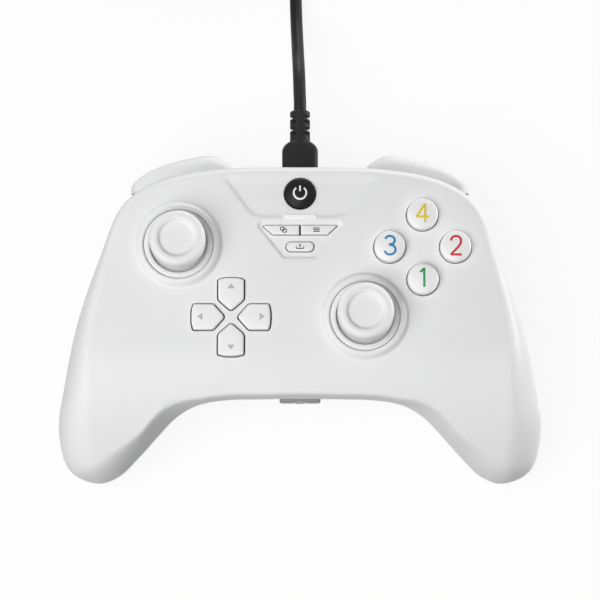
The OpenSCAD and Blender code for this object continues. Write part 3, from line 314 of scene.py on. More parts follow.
strap_weave = moulded("strap weave", (0.02, 0.02, 0.022), (0.05, 0.05, 0.055), 0.8, 700.0, 0.00012)
silicone = moulded("silicone", (0.42, 0.42, 0.43), (0.5, 0.5, 0.5), 0.6, 800.0, 0.00002)
# Grey of the direction keys' arrows: painted shade standing in for debossed arrows.
painted_arrow_shade = moulded("grey mark", (0.42, 0.42, 0.42), (0.5, 0.5, 0.5), 0.5)
mark_dark = moulded("dark mark", (0.04, 0.04, 0.04), (0.06, 0.06, 0.06), 0.5)
mark_white = moulded("white mark", (0.8, 0.8, 0.8), (0.86, 0.86, 0.86), 0.35)
mark_yellow = moulded("yellow mark", (0.70, 0.53, 0.03), (0.76, 0.60, 0.05), 0.4)
mark_blue = moulded("blue mark", (0.006, 0.18, 0.42), (0.01, 0.23, 0.5), 0.4)
mark_red = moulded("red mark", (0.50, 0.008, 0.02), (0.58, 0.015, 0.03), 0.4)
mark_green = moulded("green mark", (0.008, 0.24, 0.055), (0.015, 0.3, 0.075), 0.4)
steel = metal("steel", (0.55, 0.55, 0.56), (0.65, 0.65, 0.66), 0.3, (40.0, 1.0, 40.0))
brass = metal("weight brass", (0.55, 0.42, 0.18), (0.62, 0.5, 0.24), 0.35, (1.0, 40.0, 1.0))
board_green = board_finish("circuit board")


# Pieces: points and faces gathered in millimetres, then made into one mesh

class Form:
    """Points and faces of one piece, in millimetres."""

    def __init__(self):
        self.points = []
        self.faces = []

    def ring(self, points):
        first = len(self.points)
        self.points.extend(tuple(float(c) for c in p) for p in points)
        return list(range(first, len(self.points)))

    def band(self, a, b, closed=True):
        n = len(a)
        for k in range(n if closed else n - 1):
            m = (k + 1) % n
            self.faces.append((a[k], a[m], b[m], b[k]))

    def loft(self, rings, first_end=True, last_end=True):
        made = [self.ring(r) for r in rings]
        for a, b in zip(made, made[1:]):
            self.band(a, b)
        if first_end:
            self.faces.append(tuple(reversed(made[0])))
        if last_end:
            self.faces.append(tuple(made[-1]))
        return made

    def sheet(self, points, tris):
        """Add a surface of triangles and tell where its points begin."""
        first = len(self.points)
        self.ring(points)
        self.faces += [tuple(int(k) + first for k in tri) for tri in tris]
        return first

    def lathe(self, profile, middle, sides=96, first_end=True, last_end=True):
        rings = []
        for radius, z in profile:
            rings.append([(x, y, middle[2] + z) for x, y in circle(middle, radius, sides)])
        return self.loft(rings, first_end, last_end)

    def moved(self, matrix):
        self.points = [tuple(matrix @ Vector(p)) for p in self.points]
        return self

    def join(self, other):
        first = len(self.points)
        self.points.extend(other.points)
        self.faces.extend(tuple(k + first for k in face) for face in other.faces)
        return self


usual_crease = 38.0


def make_piece(form, name, finish, body="case", nodes=(), crease=usual_crease, outward=True):
    """One mesh object from a form, riding on its body and standing for its CAD nodes."""
    name = name.replace(" ", "_")
    mesh = bpy.data.meshes.new(name)
    work = bmesh.new()
    verts = [work.verts.new(Vector(p) * MM) for p in form.points]
    for face in form.faces:
        if len(set(face)) == len(face):
            try:
                work.faces.new([verts[k] for k in face])
            except ValueError:
                continue
    bmesh.ops.remove_doubles(work, verts=work.verts, dist=0.000001)
    if outward:
        bmesh.ops.recalc_face_normals(work, faces=work.faces)
    work.to_mesh(mesh)
    work.free()
    mesh.shade_smooth()
    mesh.set_sharp_from_angle(angle=math.radians(crease))
    mesh.materials.append(finish)
    piece = bpy.data.objects.new(name, mesh)
    scene.collection.objects.link(piece)
    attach(piece, body)
    if nodes:
        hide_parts(*nodes)
    return piece


# Lead: free stretch, put-away turns and tail as one line
top_edge_y = 46.3
boot_z = 26.0
boot_end = top_edge_y + 11.0
relief_end = boot_end + 10.0
relief_r = 3.2
boot_w = 11.4
boot_h = 7.5
cord_d = 4.0
coil_gap = 0.5
coil_pitch = cord_d + coil_gap
coil_turns = 3.75
coil_mean_r = 24.3
hook_r = coil_mean_r + coil_turns * coil_pitch / 2
cord_x = -1.5
coil_x = cord_x - hook_r
coil_y = 147.0
coil_z = cord_d / 2 + 1.2
coil_top = coil_z + 3 * coil_pitch
plug_at = (-38.0, 190.5, 4.6)
lead_route = [(0, relief_end, boot_z), (0, relief_end + 3, boot_z), (-0.1, 73, 25.5), (-0.3, 80, 23.2),
    (-0.6, 88, 16.6), (-0.9, 96, 9.6), (-1.2, 104, 4.8), (-1.4, 112, 2.6), (cord_x, 120, 2.1),
    (cord_x, 130, 2.2), (cord_x, 138, coil_z - 0.2), (cord_x, coil_y - cord_d, coil_z)]
tail_route = [(cord_x, coil_y + cord_d, coil_top), (cord_x, coil_y + 8, coil_top - 0.2), (-2, 163, 14.6),
    (-5.5, 172.5, 11.4), (-13, 181.5, 8.2), (-23, 187.5, 5.6), (-32, 189.8, 4.8), plug_at]


def coil_point(turn):
    """Point of the put-away turns: in, out, in and out again, one layer above the other."""
    part = (turn / coil_turns) % 2.0
    radius = hook_r - coil_turns * coil_pitch * (part if part < 1 else 2 - part)
    climb = sum(min(1.0, max(0.0, (turn - k * coil_turns) * 2 + 0.5)) for k in (1, 2, 3))
    angle = 2 * math.pi * turn
    across = radius * math.cos(angle)
    along = radius * math.sin(angle)
    return np.array([coil_x + across, coil_y + along, coil_z + coil_pitch * climb])


coil_steps = 48
turns_all = int(4 * coil_turns * coil_steps)
lead_line = curve_through(lead_route, 5)
lead_line += [coil_point(k / coil_steps) for k in range(turns_all + 1)]
lead_line += curve_through(tail_route, 5)
lead_length = sum(float(np.linalg.norm(b - a)) for a, b in zip(lead_line, lead_line[1:])) * MM

lead_data = bpy.data.curves.new("lead", "CURVE")
lead_data.dimensions = "3D"
lead_data.bevel_depth = cord_d / 2 * MM
lead_data.bevel_resolution = 5
lead_data.use_fill_caps = True
lead_spline = lead_data.splines.new("POLY")
lead_spline.points.add(len(lead_line) - 1)
for spot, place in zip(lead_spline.points, lead_line):
    spot.co = (place[0] * MM, place[1] * MM, place[2] * MM, 1.0)
lead_spline.use_smooth = True
lead_data.materials.append(cord_rubber)
lead = bpy.data.objects.new("lead", lead_data)
scene.collection.objects.link(lead)
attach(lead, "case")
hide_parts("usb_cable", "usb_cable_coil")


def slot_depth(y, angle):
    """How deep the strain relief is cut at a place along it and an angle round it."""
    side = abs(math.cos(angle))
    depth = 0.0
    for at in (2.25, 6.15):
        cut = 1 - smooth((abs(relief_end - at - y) - 0.3) / 0.3)
        depth = max(depth, 1.05 * cut * smooth((side - 0.45) / 0.25))
    for at in (3.9, 7.7):
        cut = 1 - smooth((abs(relief_end - at - y) - 0.2) / 0.25)
        ring = smooth((side - 0.35) / 0.2) * (1 - smooth((side - 0.82) / 0.1))
        depth = max(depth, 0.8 * cut * ring)
    return depth


def boot_ring(y, width, height, radius):
    return [(p[0], y, boot_z + p[1]) for p in pad_line(width, height, radius, 9)]


boot = Form()
boot_in = top_edge_y - 6.1
flange = 2.8
boot_rings = []
for more, y in ((flange, boot_in), (flange, boot_in + 1.5), (0.0, boot_in + 1.6)):
    boot_rings.append(boot_ring(y, boot_w + more, boot_h + more, 2.0))
shoulder_l = 3.6
shoulder_full = 4.35
for k in range(15):
    h = shoulder_l * math.sin(math.radians(90 * k / 14))
    narrow = math.sqrt(1 - (h / shoulder_full) ** 2)
    high = boot_h - 0.1 * h * h
    boot_rings.append(boot_ring(boot_end - shoulder_l + h, boot_w * narrow, high, 2.1 + 0.2 * h))
boot.loft(boot_rings)
relief_rings = []
relief_sides = 64
for k in range(61):
    y = mix(boot_end - 1.2, relief_end, k / 60)
    edge = max(0.0, 0.5 - (relief_end - y)) / 0.5
    ring = []
    for s in range(relief_sides):
        a = 2 * math.pi * s / relief_sides
        r = relief_r - 0.45 * (1 - math.sqrt(max(0.0, 1 - edge * edge))) - slot_depth(y, a)
        ring.append((r * math.cos(a), y, boot_z + r * math.sin(a)))
    relief_rings.append(ring)
boot.loft(relief_rings)
make_piece(boot, "boot", boot_rubber, nodes=["cable_boot"])

tie = Form()
tie_middle = (coil_x - coil_mean_r + 0.3, coil_y, coil_z + 1.5 * coil_pitch)
tie_wide = coil_turns * coil_pitch + cord_d + 1.9
tie_high = 3 * coil_pitch + cord_d + 0.8
tie_rings = []
tie_section = [(0.0, -4.2), (0.0, 4.2), (0.3, 4.5), (1.1, 4.5), (1.4, 4.2)]
tie_section += [(1.4, -4.2), (1.1, -4.5), (0.3, -4.5), (0.0, -4.2)]
for grow, y in tie_section:
    line = pad_line(tie_wide + grow, tie_high + grow, 2.0 + grow / 2, 8)
    tie_rings.append([(tie_middle[0] + p[0], tie_middle[1] + y, tie_middle[2] + p[1]) for p in line])
tie.loft(tie_rings, False, False)
tie_piece = make_piece(tie, "lead strap", strap_weave, nodes=["cable_tie"])


def plug_ring(x, line, drop=0.0):
    """A closed line set across the plug, so far from the end of the lead."""
    return [(plug_at[0] - x, plug_at[1] - p[0], plug_at[2] - drop + p[1]) for p in line]


plug = Form()
plug_w = 15
plug_h = 8
plug_stations = [(0, 4.4, 1.6), (0.5, 3.2, 1.8), (3, 2.2, 2.0), (7, 0.6, 2.0)]
plug_stations += [(9, 0.0, 2.0), (21.2, 0.0, 2.0), (21.8, 0.35, 1.9), (22, 0.9, 1.7)]
plug_rings = []
for x, less, radius in plug_stations:
    plug_rings.append(plug_ring(x, pad_line(plug_w - less, plug_h - less * 0.6, radius, 7)))
plug.loft(plug_rings)
for k in range(5):
    rib = ((10 + 2 * k, 0.0), (10.3 + 2 * k, 0.18), (10.9 + 2 * k, 0.18), (11.2 + 2 * k, 0.0))
    plug.loft([plug_ring(x, pad_line(9.0, 7.9 + lift * 2, 0.6, 4)) for x, lift in rib])
plug_piece = make_piece(plug, "plug grip", dark_plastic, nodes=["usb_plug"])

tongue = Form()
tongue_w = 12
tongue_h = 4.5
tongue_stations = ((21, 0.0), (33.8, 0.0), (34, 0.1), (34, 0.5), (33.8, 0.6), (22.4, 0.6))
tongue_rings = []
for x, less in tongue_stations:
    tongue_rings.append(plug_ring(x, pad_line(tongue_w - less, tongue_h - less, 0.4, 3)))
tongue.loft(tongue_rings)
tongue_piece = make_piece(tongue, "plug shell", steel)

insert = Form()
insert_w = 11.2
insert_h = 1.9
insert_drop = 0.95
insert_stations = ((22.0, 0.0), (33.2, 0.0), (33.4, 0.3))
insert_rings = []
for x, less in insert_stations:
    insert_rings.append(plug_ring(x, pad_line(insert_w - less, insert_h - less, 0.2, 2), insert_drop))
insert.loft(insert_rings)
insert_piece = make_piece(insert, "plug insert", mark_white)


# Case: outline and heights of both halves
pad_w = 152.0
face_z = 44.0
wall = 2.2
bottom_edge_y = -24.1
grip_end_y = -50.8
shoulder_x = 55.6
shoulder_y = 34.3
grip_x = pad_w / 2
grip_y = -34.4
flank_bow = 3.5
crotch_x = 39.5
crotch_drop = 6.1
top_round = 3.0
grip_round = 13.0
bottom_round = 2.8
face_out = 3.8
rear_top_round = 8.0
rear_grip_round = 17.0
rear_bottom_round = 10.0
face_break_y = -11.5
grip_fall = 20.0
fall_power = 1.85
bulge_power = 2.2
back_z = 10.0
grip_low_z = 0.3
swell_x = 22
swell_w = 28
swell_y = -4
swell_l = 30
part_z = 23.9
part_slope = 0.2165
seam = 0.2
spans = 9


def flank(f):
    across = mix(shoulder_x, grip_x, f) + flank_bow * math.sin(math.pi * f)
    return np.array([across, mix(shoulder_y, grip_y, f)])


grip_tip = np.array([grip_x - 11.9, grip_end_y + 0.4])
crotch = np.array([crotch_x, bottom_edge_y - crotch_drop])
heel = np.array([grip_x - 18.7, grip_end_y + 2.6])
upper_run = [(0, top_edge_y), (shoulder_x - 29, top_edge_y - 0.7), (shoulder_x - 11, shoulder_y + 7.5),
    (shoulder_x, shoulder_y), flank(0.234), flank(0.52), flank(0.81), (grip_x, grip_y),
    (grip_x - 3.2, grip_end_y + 4.3), grip_tip]
lower_run = [(0, bottom_edge_y), (crotch_x - 25.5, bottom_edge_y - 0.2),
    (crotch_x - 17.5, bottom_edge_y - 0.4), (crotch_x - 10, bottom_edge_y - 1.3),
    (crotch_x - 5, bottom_edge_y - 2.9), crotch, mix(crotch, heel, 0.283),
    mix(crotch, heel, 0.61) + np.array([0, -0.5]), heel, grip_tip]
upper_run = [np.array(p, float) for p in upper_run]
lower_run = [np.array(p, float) for p in lower_run]


def mirrored(p):
    return np.array([-p[0], p[1]])


def inset_run(own, other, turn, by):
    """The same outline points moved inwards by a set distance."""
    made = []
    for k in range(spans + 1):
        before = mirrored(own[1]) if k == 0 else own[k - 1]
        after = other[spans - 1] if k == spans else own[k + 1]
        way = unit(after - before)
        made.append(own[k] + by * turn * np.array([way[1], -way[0]]))
    return made


def run_points(own, other, steps):
    """Points along one outline run, from the middle line to the grip end."""
    made = []
    for k in range(spans):
        before = mirrored(own[1]) if k == 0 else own[k - 1]
        after = other[spans - 1] if k + 2 > spans else own[k + 2]
        made += [curve_span(before, own[k], own[k + 1], after, s / steps) for s in range(steps)]
    return made


def plane_z(y):
    return part_z + part_slope * y


def top_z(y):
    drop = np.clip((face_break_y - y) / (face_break_y - grip_end_y), 0.0, None)
    return face_z - grip_fall * drop ** fall_power


def low_z(x, y):
    towards_player = smooth((swell_y - y) / swell_l)
    return back_z - (back_z - grip_low_z) * towards_player * smooth((np.abs(x) - swell_x) / swell_w)


def bulge(d, w):
    return (1 - (1 - np.clip(d / w, 0.0, 1.0)) ** bulge_power) ** (1 / bulge_power)


def edge_widths(up, place):
    """Rounding of a case half at its far and near edge, and how far its face stands out there."""
    if up < 0:
        far = mix(rear_top_round, rear_grip_round, smooth((place - 1.2) / 3.6))
        near = mix(rear_bottom_round, rear_grip_round, smooth((place - 2) / 6))
        return far, near, 0.0
    far = mix(top_round, grip_round, smooth((place - 2.5) / 5))
    near = mix(bottom_round, grip_round, smooth((place - 6.2) / 2.8))
    return far, near, face_out * (1 - smooth((place - 3) / 3))


def case_grid(up, deep, steps, cols):
    """Rows of surface points of one case half, from left grip to right grip, and both grip ends."""
    upper = inset_run(upper_run, lower_run, 1, deep)
    lower = inset_run(lower_run, upper_run, -1, deep)
    a = run_points(upper, lower, steps)
    b = run_points(lower, upper, steps)
    t = (1 - np.cos(np.pi * np.arange(cols + 1) / cols)) / 2
    right = []
    for k in range(spans * steps):
        far, near, out = edge_widths(up, k / steps)
        p = a[k] + (b[k] - a[k]) * t[:, None]
        length = float(np.linalg.norm(b[k] - a[k]))
        left_over = (1 - t) * length
        rise = bulge(left_over, near - deep)
        push = out * rise * (1 - smooth((left_over - near) / 30))
        q = p + (b[k] - a[k]) / length * push[:, None]
        rim = plane_z(p[:, 1]) + up * seam / 2
        full = top_z(q[:, 1]) - deep if up > 0 else low_z(q[:, 0], q[:, 1]) + deep
        z = mix(rim, full, bulge(t * length, far - deep) * rise)
        right.append(np.column_stack([q, z]))
    left = [row * np.array([-1, 1, 1]) for row in right[:0:-1]]
    tip = upper[spans]
    tips = [(s * tip[0], tip[1], plane_z(tip[1]) + up * seam / 2) for s in (-1, 1)]
    return np.array(left + right), tips


def inside(points, loop):
    """Which of the points lie inside a closed line."""
    x = points[:, 0]
    y = points[:, 1]
    within = np.zeros(len(points), bool)
    line = np.array(loop, float)[:, :2]
    for (x0, y0), (x1, y1) in zip(line, np.roll(line, -1, axis=0)):
        if y0 == y1:
            continue
        crossed = (y0 > y) != (y1 > y)
        within ^= crossed & (x < (x1 - x0) * (y - y0) / (y1 - y0) + x0)
    return within


def filled(border, loops, spacing, extra=()):
    """Triangles between a border and the loops in it, with the points that border and loops became."""
    fixed = [tuple(p[:2]) for p in border]
    edges = [(k, (k + 1) % len(fixed)) for k in range(len(fixed))]
    for loop in loops:
        first = len(fixed)
        fixed += [tuple(p[:2]) for p in loop]
        edges += [(first + k, first + (k + 1) % len(loop)) for k in range(len(loop))]
    line = np.array(fixed)
    low = line.min(axis=0)
    high = line.max(axis=0)
    loose = [tuple(p) for p in extra]
    row = 0
    y = low[1]
    while y < high[1]:
        x = low[0] + (0.5 * spacing if row % 2 else 0.0)
        while x < high[0]:
            loose.append((x, y))
            x += spacing
        y += spacing * 0.866
        row += 1
    loose = np.array(loose)
    keep = inside(loose, border)
    for loop in loops:
        keep &= ~inside(loose, loop)
    loose = loose[keep]
    clear = np.ones(len(loose), bool)
    for start in range(0, len(loose), 500):
        part = loose[start:start + 500]
        gap = np.min(np.linalg.norm(part[:, None, :] - line[None, :, :], axis=2), axis=1)
        clear[start:start + 500] = gap > 0.4 * spacing
    loose = loose[clear]
    sites = [Vector(p) for p in fixed] + [Vector(p) for p in loose]
    points, _, faces, came_from, _, _ = delaunay_2d_cdt(sites, edges, [], 0, 0.00001)
    flat = np.array([tuple(p) for p in points])
    tris = np.array([tuple(f) for f in faces])
    middle = flat[tris].mean(axis=1)
    sides = flat[tris[:, 1:]] - flat[tris[:, :1]]
    twice_area = np.abs(sides[:, 0, 0] * sides[:, 1, 1] - sides[:, 0, 1] * sides[:, 1, 0])
    keep = inside(middle, border) & (twice_area > 0.0002)
    for loop in loops:
        keep &= ~inside(middle, loop)
    went = {}
    for k, sources in enumerate(came_from):
        for source in sources:
            went[source] = k
    chains = []
    first = 0
    for chain in [border] + list(loops):
        chains.append([went[first + k] for k in range(len(chain))])
        first += len(chain)
    return flat, tris[keep], chains


def lip(radius, depth, steps=5):
    """Rounded edge of an opening, as growth and height pairs, then its wall."""
    pairs = []
    for k in range(1, steps + 1):
        a = math.radians(90 * k / steps)
        pairs.append((radius * (1 - math.sin(a)), -radius * (1 - math.cos(a))))
    return pairs + [(0.0, -depth)]


# Openings in the face: sticks, keys and the shallow recess
stick_spots = {"left": (-37.5, 20.5), "right": (20.0, -2.0)}
stick_hole_r = 10.8
collar_foot = 14.2
face_x = 37.85
face_y = 19.5
face_pitch = 10.15
face_key_r = 4.8
face_key_h = 3.0
face_key_crown = 0.35
key_gap = 0.3
face_spots = {"north": (face_x, face_y + face_pitch), "south": (face_x, face_y - face_pitch),
    "east": (face_x + face_pitch, face_y), "west": (face_x - face_pitch, face_y)}
dpad_at = (-21.2, -2.3)
dpad_reach = 12.3
dpad_half = 3.95
dpad_turns = {"up": 0.0, "left": 90.0, "down": 180.0, "right": -90.0}
home_at = (0.0, 36.6)
home_r = 4.7
option_y = 25.05
option_d = 2.8
option_w = 11.0
option_in = 0.25
share_y = 19.8
share_w = 8.4
share_d = 2.85
recess_depth = 0.6
lip_r = 0.3
dpad_gap = 0.42
dpad_lip_r = 0.12
bar_gap = 0.25
bar_lip_r = 0.1
share_lip_r = 0.15


def dpad_point(p, turn):
    """A place on the upward direction key, turned to one of the four keys."""
    c = math.cos(math.radians(turn))
    s = math.sin(math.radians(turn))
    return (dpad_at[0] + c * p[0] - s * p[1], dpad_at[1] + s * p[0] + c * p[1])


def dpad_line(grow, turn):
    """Outline of one direction key: bowed outer end, rounded point towards the middle."""
    h = dpad_half
    corners = [(h, 5.45), (h, dpad_reach - 0.75)]
    corners += [(h * 0.5, dpad_reach - 0.19), (-h * 0.5, dpad_reach - 0.19)]
    corners += [(-h, dpad_reach - 0.75), (-h, 5.45), (0, 1.95)]
    radii = [1.7, 0.5, 9.0, 9.0, 0.5, 1.7, 1.05]
    line = rounded(grown(corners, grow), [max(r + grow, 0.1) for r in radii], 7)
    return [dpad_point(p, turn) for p in line]


def option_end():
    """Corners of the slanted outer end of the right option key."""
    h = option_d / 2
    o = option_in + option_w
    return [(o - 2.75, -h), (o + 0.1, h - 0.15), (o - 0.2, h)]


def option_line(grow, side):
    """Outline of one option key, the right one for side 1."""
    h = option_d / 2
    corners = [(option_in, -h)] + option_end() + [(option_in, h)]
    radii = [0.2, 0.8, 0.25, 0.25, 0.2]
    line = rounded(grown(corners, grow), [max(r + grow, 0.08) for r in radii], 5)
    return [(side * p[0], option_y + p[1]) for p in (line if side > 0 else line[::-1])]


def bar_line(grow):
    """Outline of the one opening round both option keys."""
    half = option_end()
    corners = half + [(-p[0], p[1]) for p in half[::-1]]
    radii = [0.8, 0.25, 0.25, 0.25, 0.25, 0.8]
    line = rounded(grown(corners, grow), [max(r + grow, 0.08) for r in radii], 6)
    return [(p[0], option_y + p[1]) for p in line]


def share_line(grow):
    line = pad_line(share_w + 2 * grow, share_d + 2 * grow, max(1.5 + grow, 0.1), 8)
    return [(p[0], share_y + p[1]) for p in line]


def recess_line(grow):
    corners = [(5.0, 16.5), (13.8, 27.6), (-13.8, 27.6), (-5.0, 16.5)]
    return rounded(grown(corners, grow), [max(1.1 + grow, 0.2)] * 4, 7)


openings = []
collar_hill = [(collar_foot, 0.0), (13.85, 0.03), (13.6, 0.1), (13.32, 0.31), (12.98, 0.72), (12.54, 1.24),
    (12.06, 1.58), (11.58, 1.7), (11.2, 1.62), (10.97, 1.46), (10.85, 1.26), (stick_hole_r, 1.0)]
ledge_r = stick_hole_r - 0.6
collar_profile = [tuple(q) for q in curve_through(collar_hill, 3)]
collar_profile += [(stick_hole_r, -0.8), (ledge_r, -0.8), (ledge_r, -1.5), (stick_hole_r, -2.2)]
for spot in stick_spots.values():
    openings.append((lambda g, at=spot: circle(at, g, 128), collar_profile))
round_lip = [(lip_r, 0.0)] + lip(lip_r, wall)
dpad_lip = [(dpad_lip_r, 0.0)] + lip(dpad_lip_r, wall)
for spot in face_spots.values():
    openings.append((lambda g, at=spot: circle(at, face_key_r + key_gap + g, 80), round_lip))
for turn in dpad_turns.values():
    openings.append((lambda g, by=turn: dpad_line(dpad_gap + g, by), dpad_lip))
openings.append((lambda g: circle(home_at, home_r + key_gap + g, 80), round_lip))
recess_slope = [(0.8, 0.0), (0.6, -0.03), (0.38, -0.13), (0.16, -0.29), (-0.06, -0.44), (-0.26, -0.55)]
openings.append((recess_line, recess_slope + [(-0.45, -recess_depth)]))

# Soft step round the panel of the home key
panel_left = [(-24.4, 43.0), (-20.0, 36.9), (-16.4, 31.9), (-14.2, 29.9), (-11.0, 29.3)]
panel_line = panel_left + [(-p[0], p[1]) for p in panel_left[::-1]]
panel_drop = 0.45
panel_ramp = 0.8
panel_area = panel_line + [(24.4, 52.0), (-24.4, 52.0)]


def panel_step(x, y):
    """Drop of the face inside the home key's panel."""
    if y > 43.4 or y < 28.0 or abs(x) > 26:
        return 0.0
    least = 1e9
    for (x0, y0), (x1, y1) in zip(panel_line, panel_line[1:]):
        along = ((x - x0) * (x1 - x0) + (y - y0) * (y1 - y0)) / ((x1 - x0) ** 2 + (y1 - y0) ** 2)
        along = min(1.0, max(0.0, along))
        least = min(least, math.hypot(x - mix(x0, x1, along), y - mix(y0, y1, along)))
    if not inside(np.array([(x, y)]), panel_area)[0]:
        least = -least
    ramp = float(smooth((least + panel_ramp) / (2 * panel_ramp)))
    return panel_drop * ramp * float(smooth((43.0 - y) / 3.5))


# Face half: fine rows of points with its openings let in
front_steps = 24
front_cols = 96
front_grid, front_tips = case_grid(1, 0.0, front_steps, front_cols)
front_rows = front_grid.shape[0]
front_middle = front_rows // 2
patch_rows = 125
patch_col = 14
row_low = front_middle - patch_rows
row_high = front_middle + patch_rows
wide = front_cols + 1
front = Form()
front.ring(front_grid.reshape(-1, 3))


def grid_faces(rows, cols, skip=lambda r, j: False):
    made = []
    for r in range(rows - 1):
        for j in range(cols):
            if not skip(r, j):
                a = r * (cols + 1) + j
                made.append((a, a + cols + 1, a + cols + 2, a + 1))
    return made


above_z = 80.0
whole_front = grid_faces(front_rows, front_cols)
face_tree = BVHTree.FromPolygons([tuple(p) for p in front.points], whole_front)


def face_height(x, y):
    hit = face_tree.ray_cast(Vector((x, y, above_z)), Vector((0, 0, -1)))
    return hit[0][2] - panel_step(x, y)


def in_patch(r, j):
    return row_low <= r < row_high and patch_col <= j < front_cols - patch_col


front.faces += grid_faces(front_rows, front_cols, in_patch)


def add_grip_ends(form, tips, rows, cols):
    ends = form.ring(tips)
    for j in range(cols):
        form.faces.append((ends[0], j, j + 1))
        last = (rows - 1) * (cols + 1) + j
        form.faces.append((last, ends[1], last + 1))
    return ends


front_ends = add_grip_ends(front, front_tips, front_rows, front_cols)


def edge_chain(rows, cols, ends):
    w = cols + 1
    there = [r * w for r in range(rows)]
    back = [r * w + cols for r in range(rows - 1, -1, -1)]
    return there + [ends[1]] + back + [ends[0]]


def add_rim(form, chain, up, steps):
    """Flat joint face going in from the edge of a case half."""
    inner, tips = case_grid(up, wall, steps, 2)
    points = list(inner[:, 0]) + [tips[1]] + list(inner[::-1, 2]) + [tips[0]]
    form.band(chain, form.ring(points))


add_rim(front, edge_chain(front_rows, front_cols, front_ends), 1, front_steps)

border = [r * wide + patch_col for r in range(row_low, row_high + 1)]
border += [row_high * wide + j for j in range(patch_col + 1, front_cols - patch_col + 1)]
border += [r * wide + front_cols - patch_col for r in range(row_high - 1, row_low - 1, -1)]
border += [row_low * wide + j for j in range(front_cols - patch_col - 1, patch_col, -1)]
border_points = [front.points[k] for k in border]
opening_loops = [line(profile[0][0]) for line, profile in openings]
step_spacing = 0.7
fill_spacing = 1.3
step_points = []
for (x0, y0), (x1, y1) in zip(panel_line, panel_line[1:]):
    length = math.hypot(x1 - x0, y1 - y0)
    for s in range(int(length / step_spacing)):
        for share in (-1.0, -0.5, 0.0, 0.5, 1.0):
            across = panel_ramp * share
            f = step_spacing * s / length
            x = mix(x0, x1, f) - across * (y1 - y0) / length
            y = mix(y0, y1, f) + across * (x1 - x0) / length
            step_points.append((x, y))
patch_flat, patch_tris, patch_chains = filled(border_points, opening_loops, fill_spacing, step_points)
patch_points = [(x, y, face_height(x, y)) for x, y in patch_flat]
for at, k in zip(patch_chains[0], border):
    patch_points[at] = front.points[k]
patch_first = front.sheet(patch_points, patch_tris)


def add_lips(form, chain, line, profile):
    """Edge and wall of one opening, hung from its loop in the surface."""
    last = chain
    heights = [form.points[k][2] for k in chain]
    for grow, rise in profile[1:]:
        ring = form.ring([(p[0], p[1], z + rise) for p, z in zip(line(grow), heights)])
        form.band(last, ring)
        last = ring
    return last


recess_edge = None
for chain, (line, profile) in zip(patch_chains[1:], openings):
    recess_edge = add_lips(front, [k + patch_first for k in chain], line, profile)

small_openings = [(lambda g: bar_line(bar_gap + g), [(bar_lip_r, 0.0)] + lip(bar_lip_r, wall)),
    (lambda g: share_line(key_gap + g), [(share_lip_r, 0.0)] + lip(share_lip_r, wall))]
recess_border = [front.points[k] for k in recess_edge]
small_loops = [line(profile[0][0]) for line, profile in small_openings]
recess_flat, recess_tris, recess_chains = filled(recess_border, small_loops, fill_spacing)
recess_first = front.sheet([(x, y, face_z - recess_depth) for x, y in recess_flat], recess_tris)
for at, k in zip(recess_chains[0], recess_edge):
    front.points[recess_first + at] = front.points[k]
for chain, (line, profile) in zip(recess_chains[1:], small_openings):
    add_lips(front, [k + recess_first for k in chain], line, profile)
make_piece(front, "case front", white_plastic, nodes=["front_shell"], crease=50.0)


# Rear half: closed hollow shell with its openings cut, and the flat rest pad
trig_at = (38.5, 39.6, 21.5)
trig_yaw = math.radians(16.0)
pin_axis = Matrix.Translation((0, 0, trig_at[2])) @ Matrix.Rotation(math.pi / 2, 4, "Y")
trig_w = 24.6
ear_in = trig_w / 2 + 0.4
ear_t = 2.0
part_clear = 0.3
inner_posts = [(31, -18.5), (-31, -18.5)]
outer_posts = [(57, 10), (-57, 10), (grip_x - 14.5, -43), (14.5 - grip_x, -43)]
well_r = 2.8
screw_r = 1.3
seat_depth = 3.5
inner_post_top = 22.8
jack_y = -24.8
jack_z = 14.2
jack_w = 13.0
jack_h = 6.0
jack_r = 1.8


def trigger_axes(side):
    """Place and turn of one trigger's own axes, the right one for side 1."""
    place = Matrix.Translation((trig_at[0], trig_at[1], 0.0)) @ Matrix.Rotation(-trig_yaw, 4, "Z")
    return place if side > 0 else Matrix.Diagonal((-1, 1, 1, 1)) @ place


def block(low, high):
    form = Form()
    corners = [(low[0], low[1]), (high[0], low[1]), (high[0], high[1]), (low[0], high[1])]
    form.loft([[(x, y, z) for x, y in corners] for z in (low[2], high[2])])
    return form


def without_flaps(mesh):
    """Split the many-sided faces of a cut mesh and drop slivers that lie back to back."""
    work = bmesh.new()
    work.from_mesh(mesh)
    bmesh.ops.triangulate(work, faces=[face for face in work.faces if len(face.verts) > 4])
    seen = {}
    for face in work.faces:
        seen.setdefault(frozenset(vert.index for vert in face.verts), []).append(face)
    flaps = [face for group in seen.values() if len(group) > 1 for face in group]
    bmesh.ops.delete(work, geom=flaps, context="FACES")
    work.to_mesh(mesh)
    work.free()


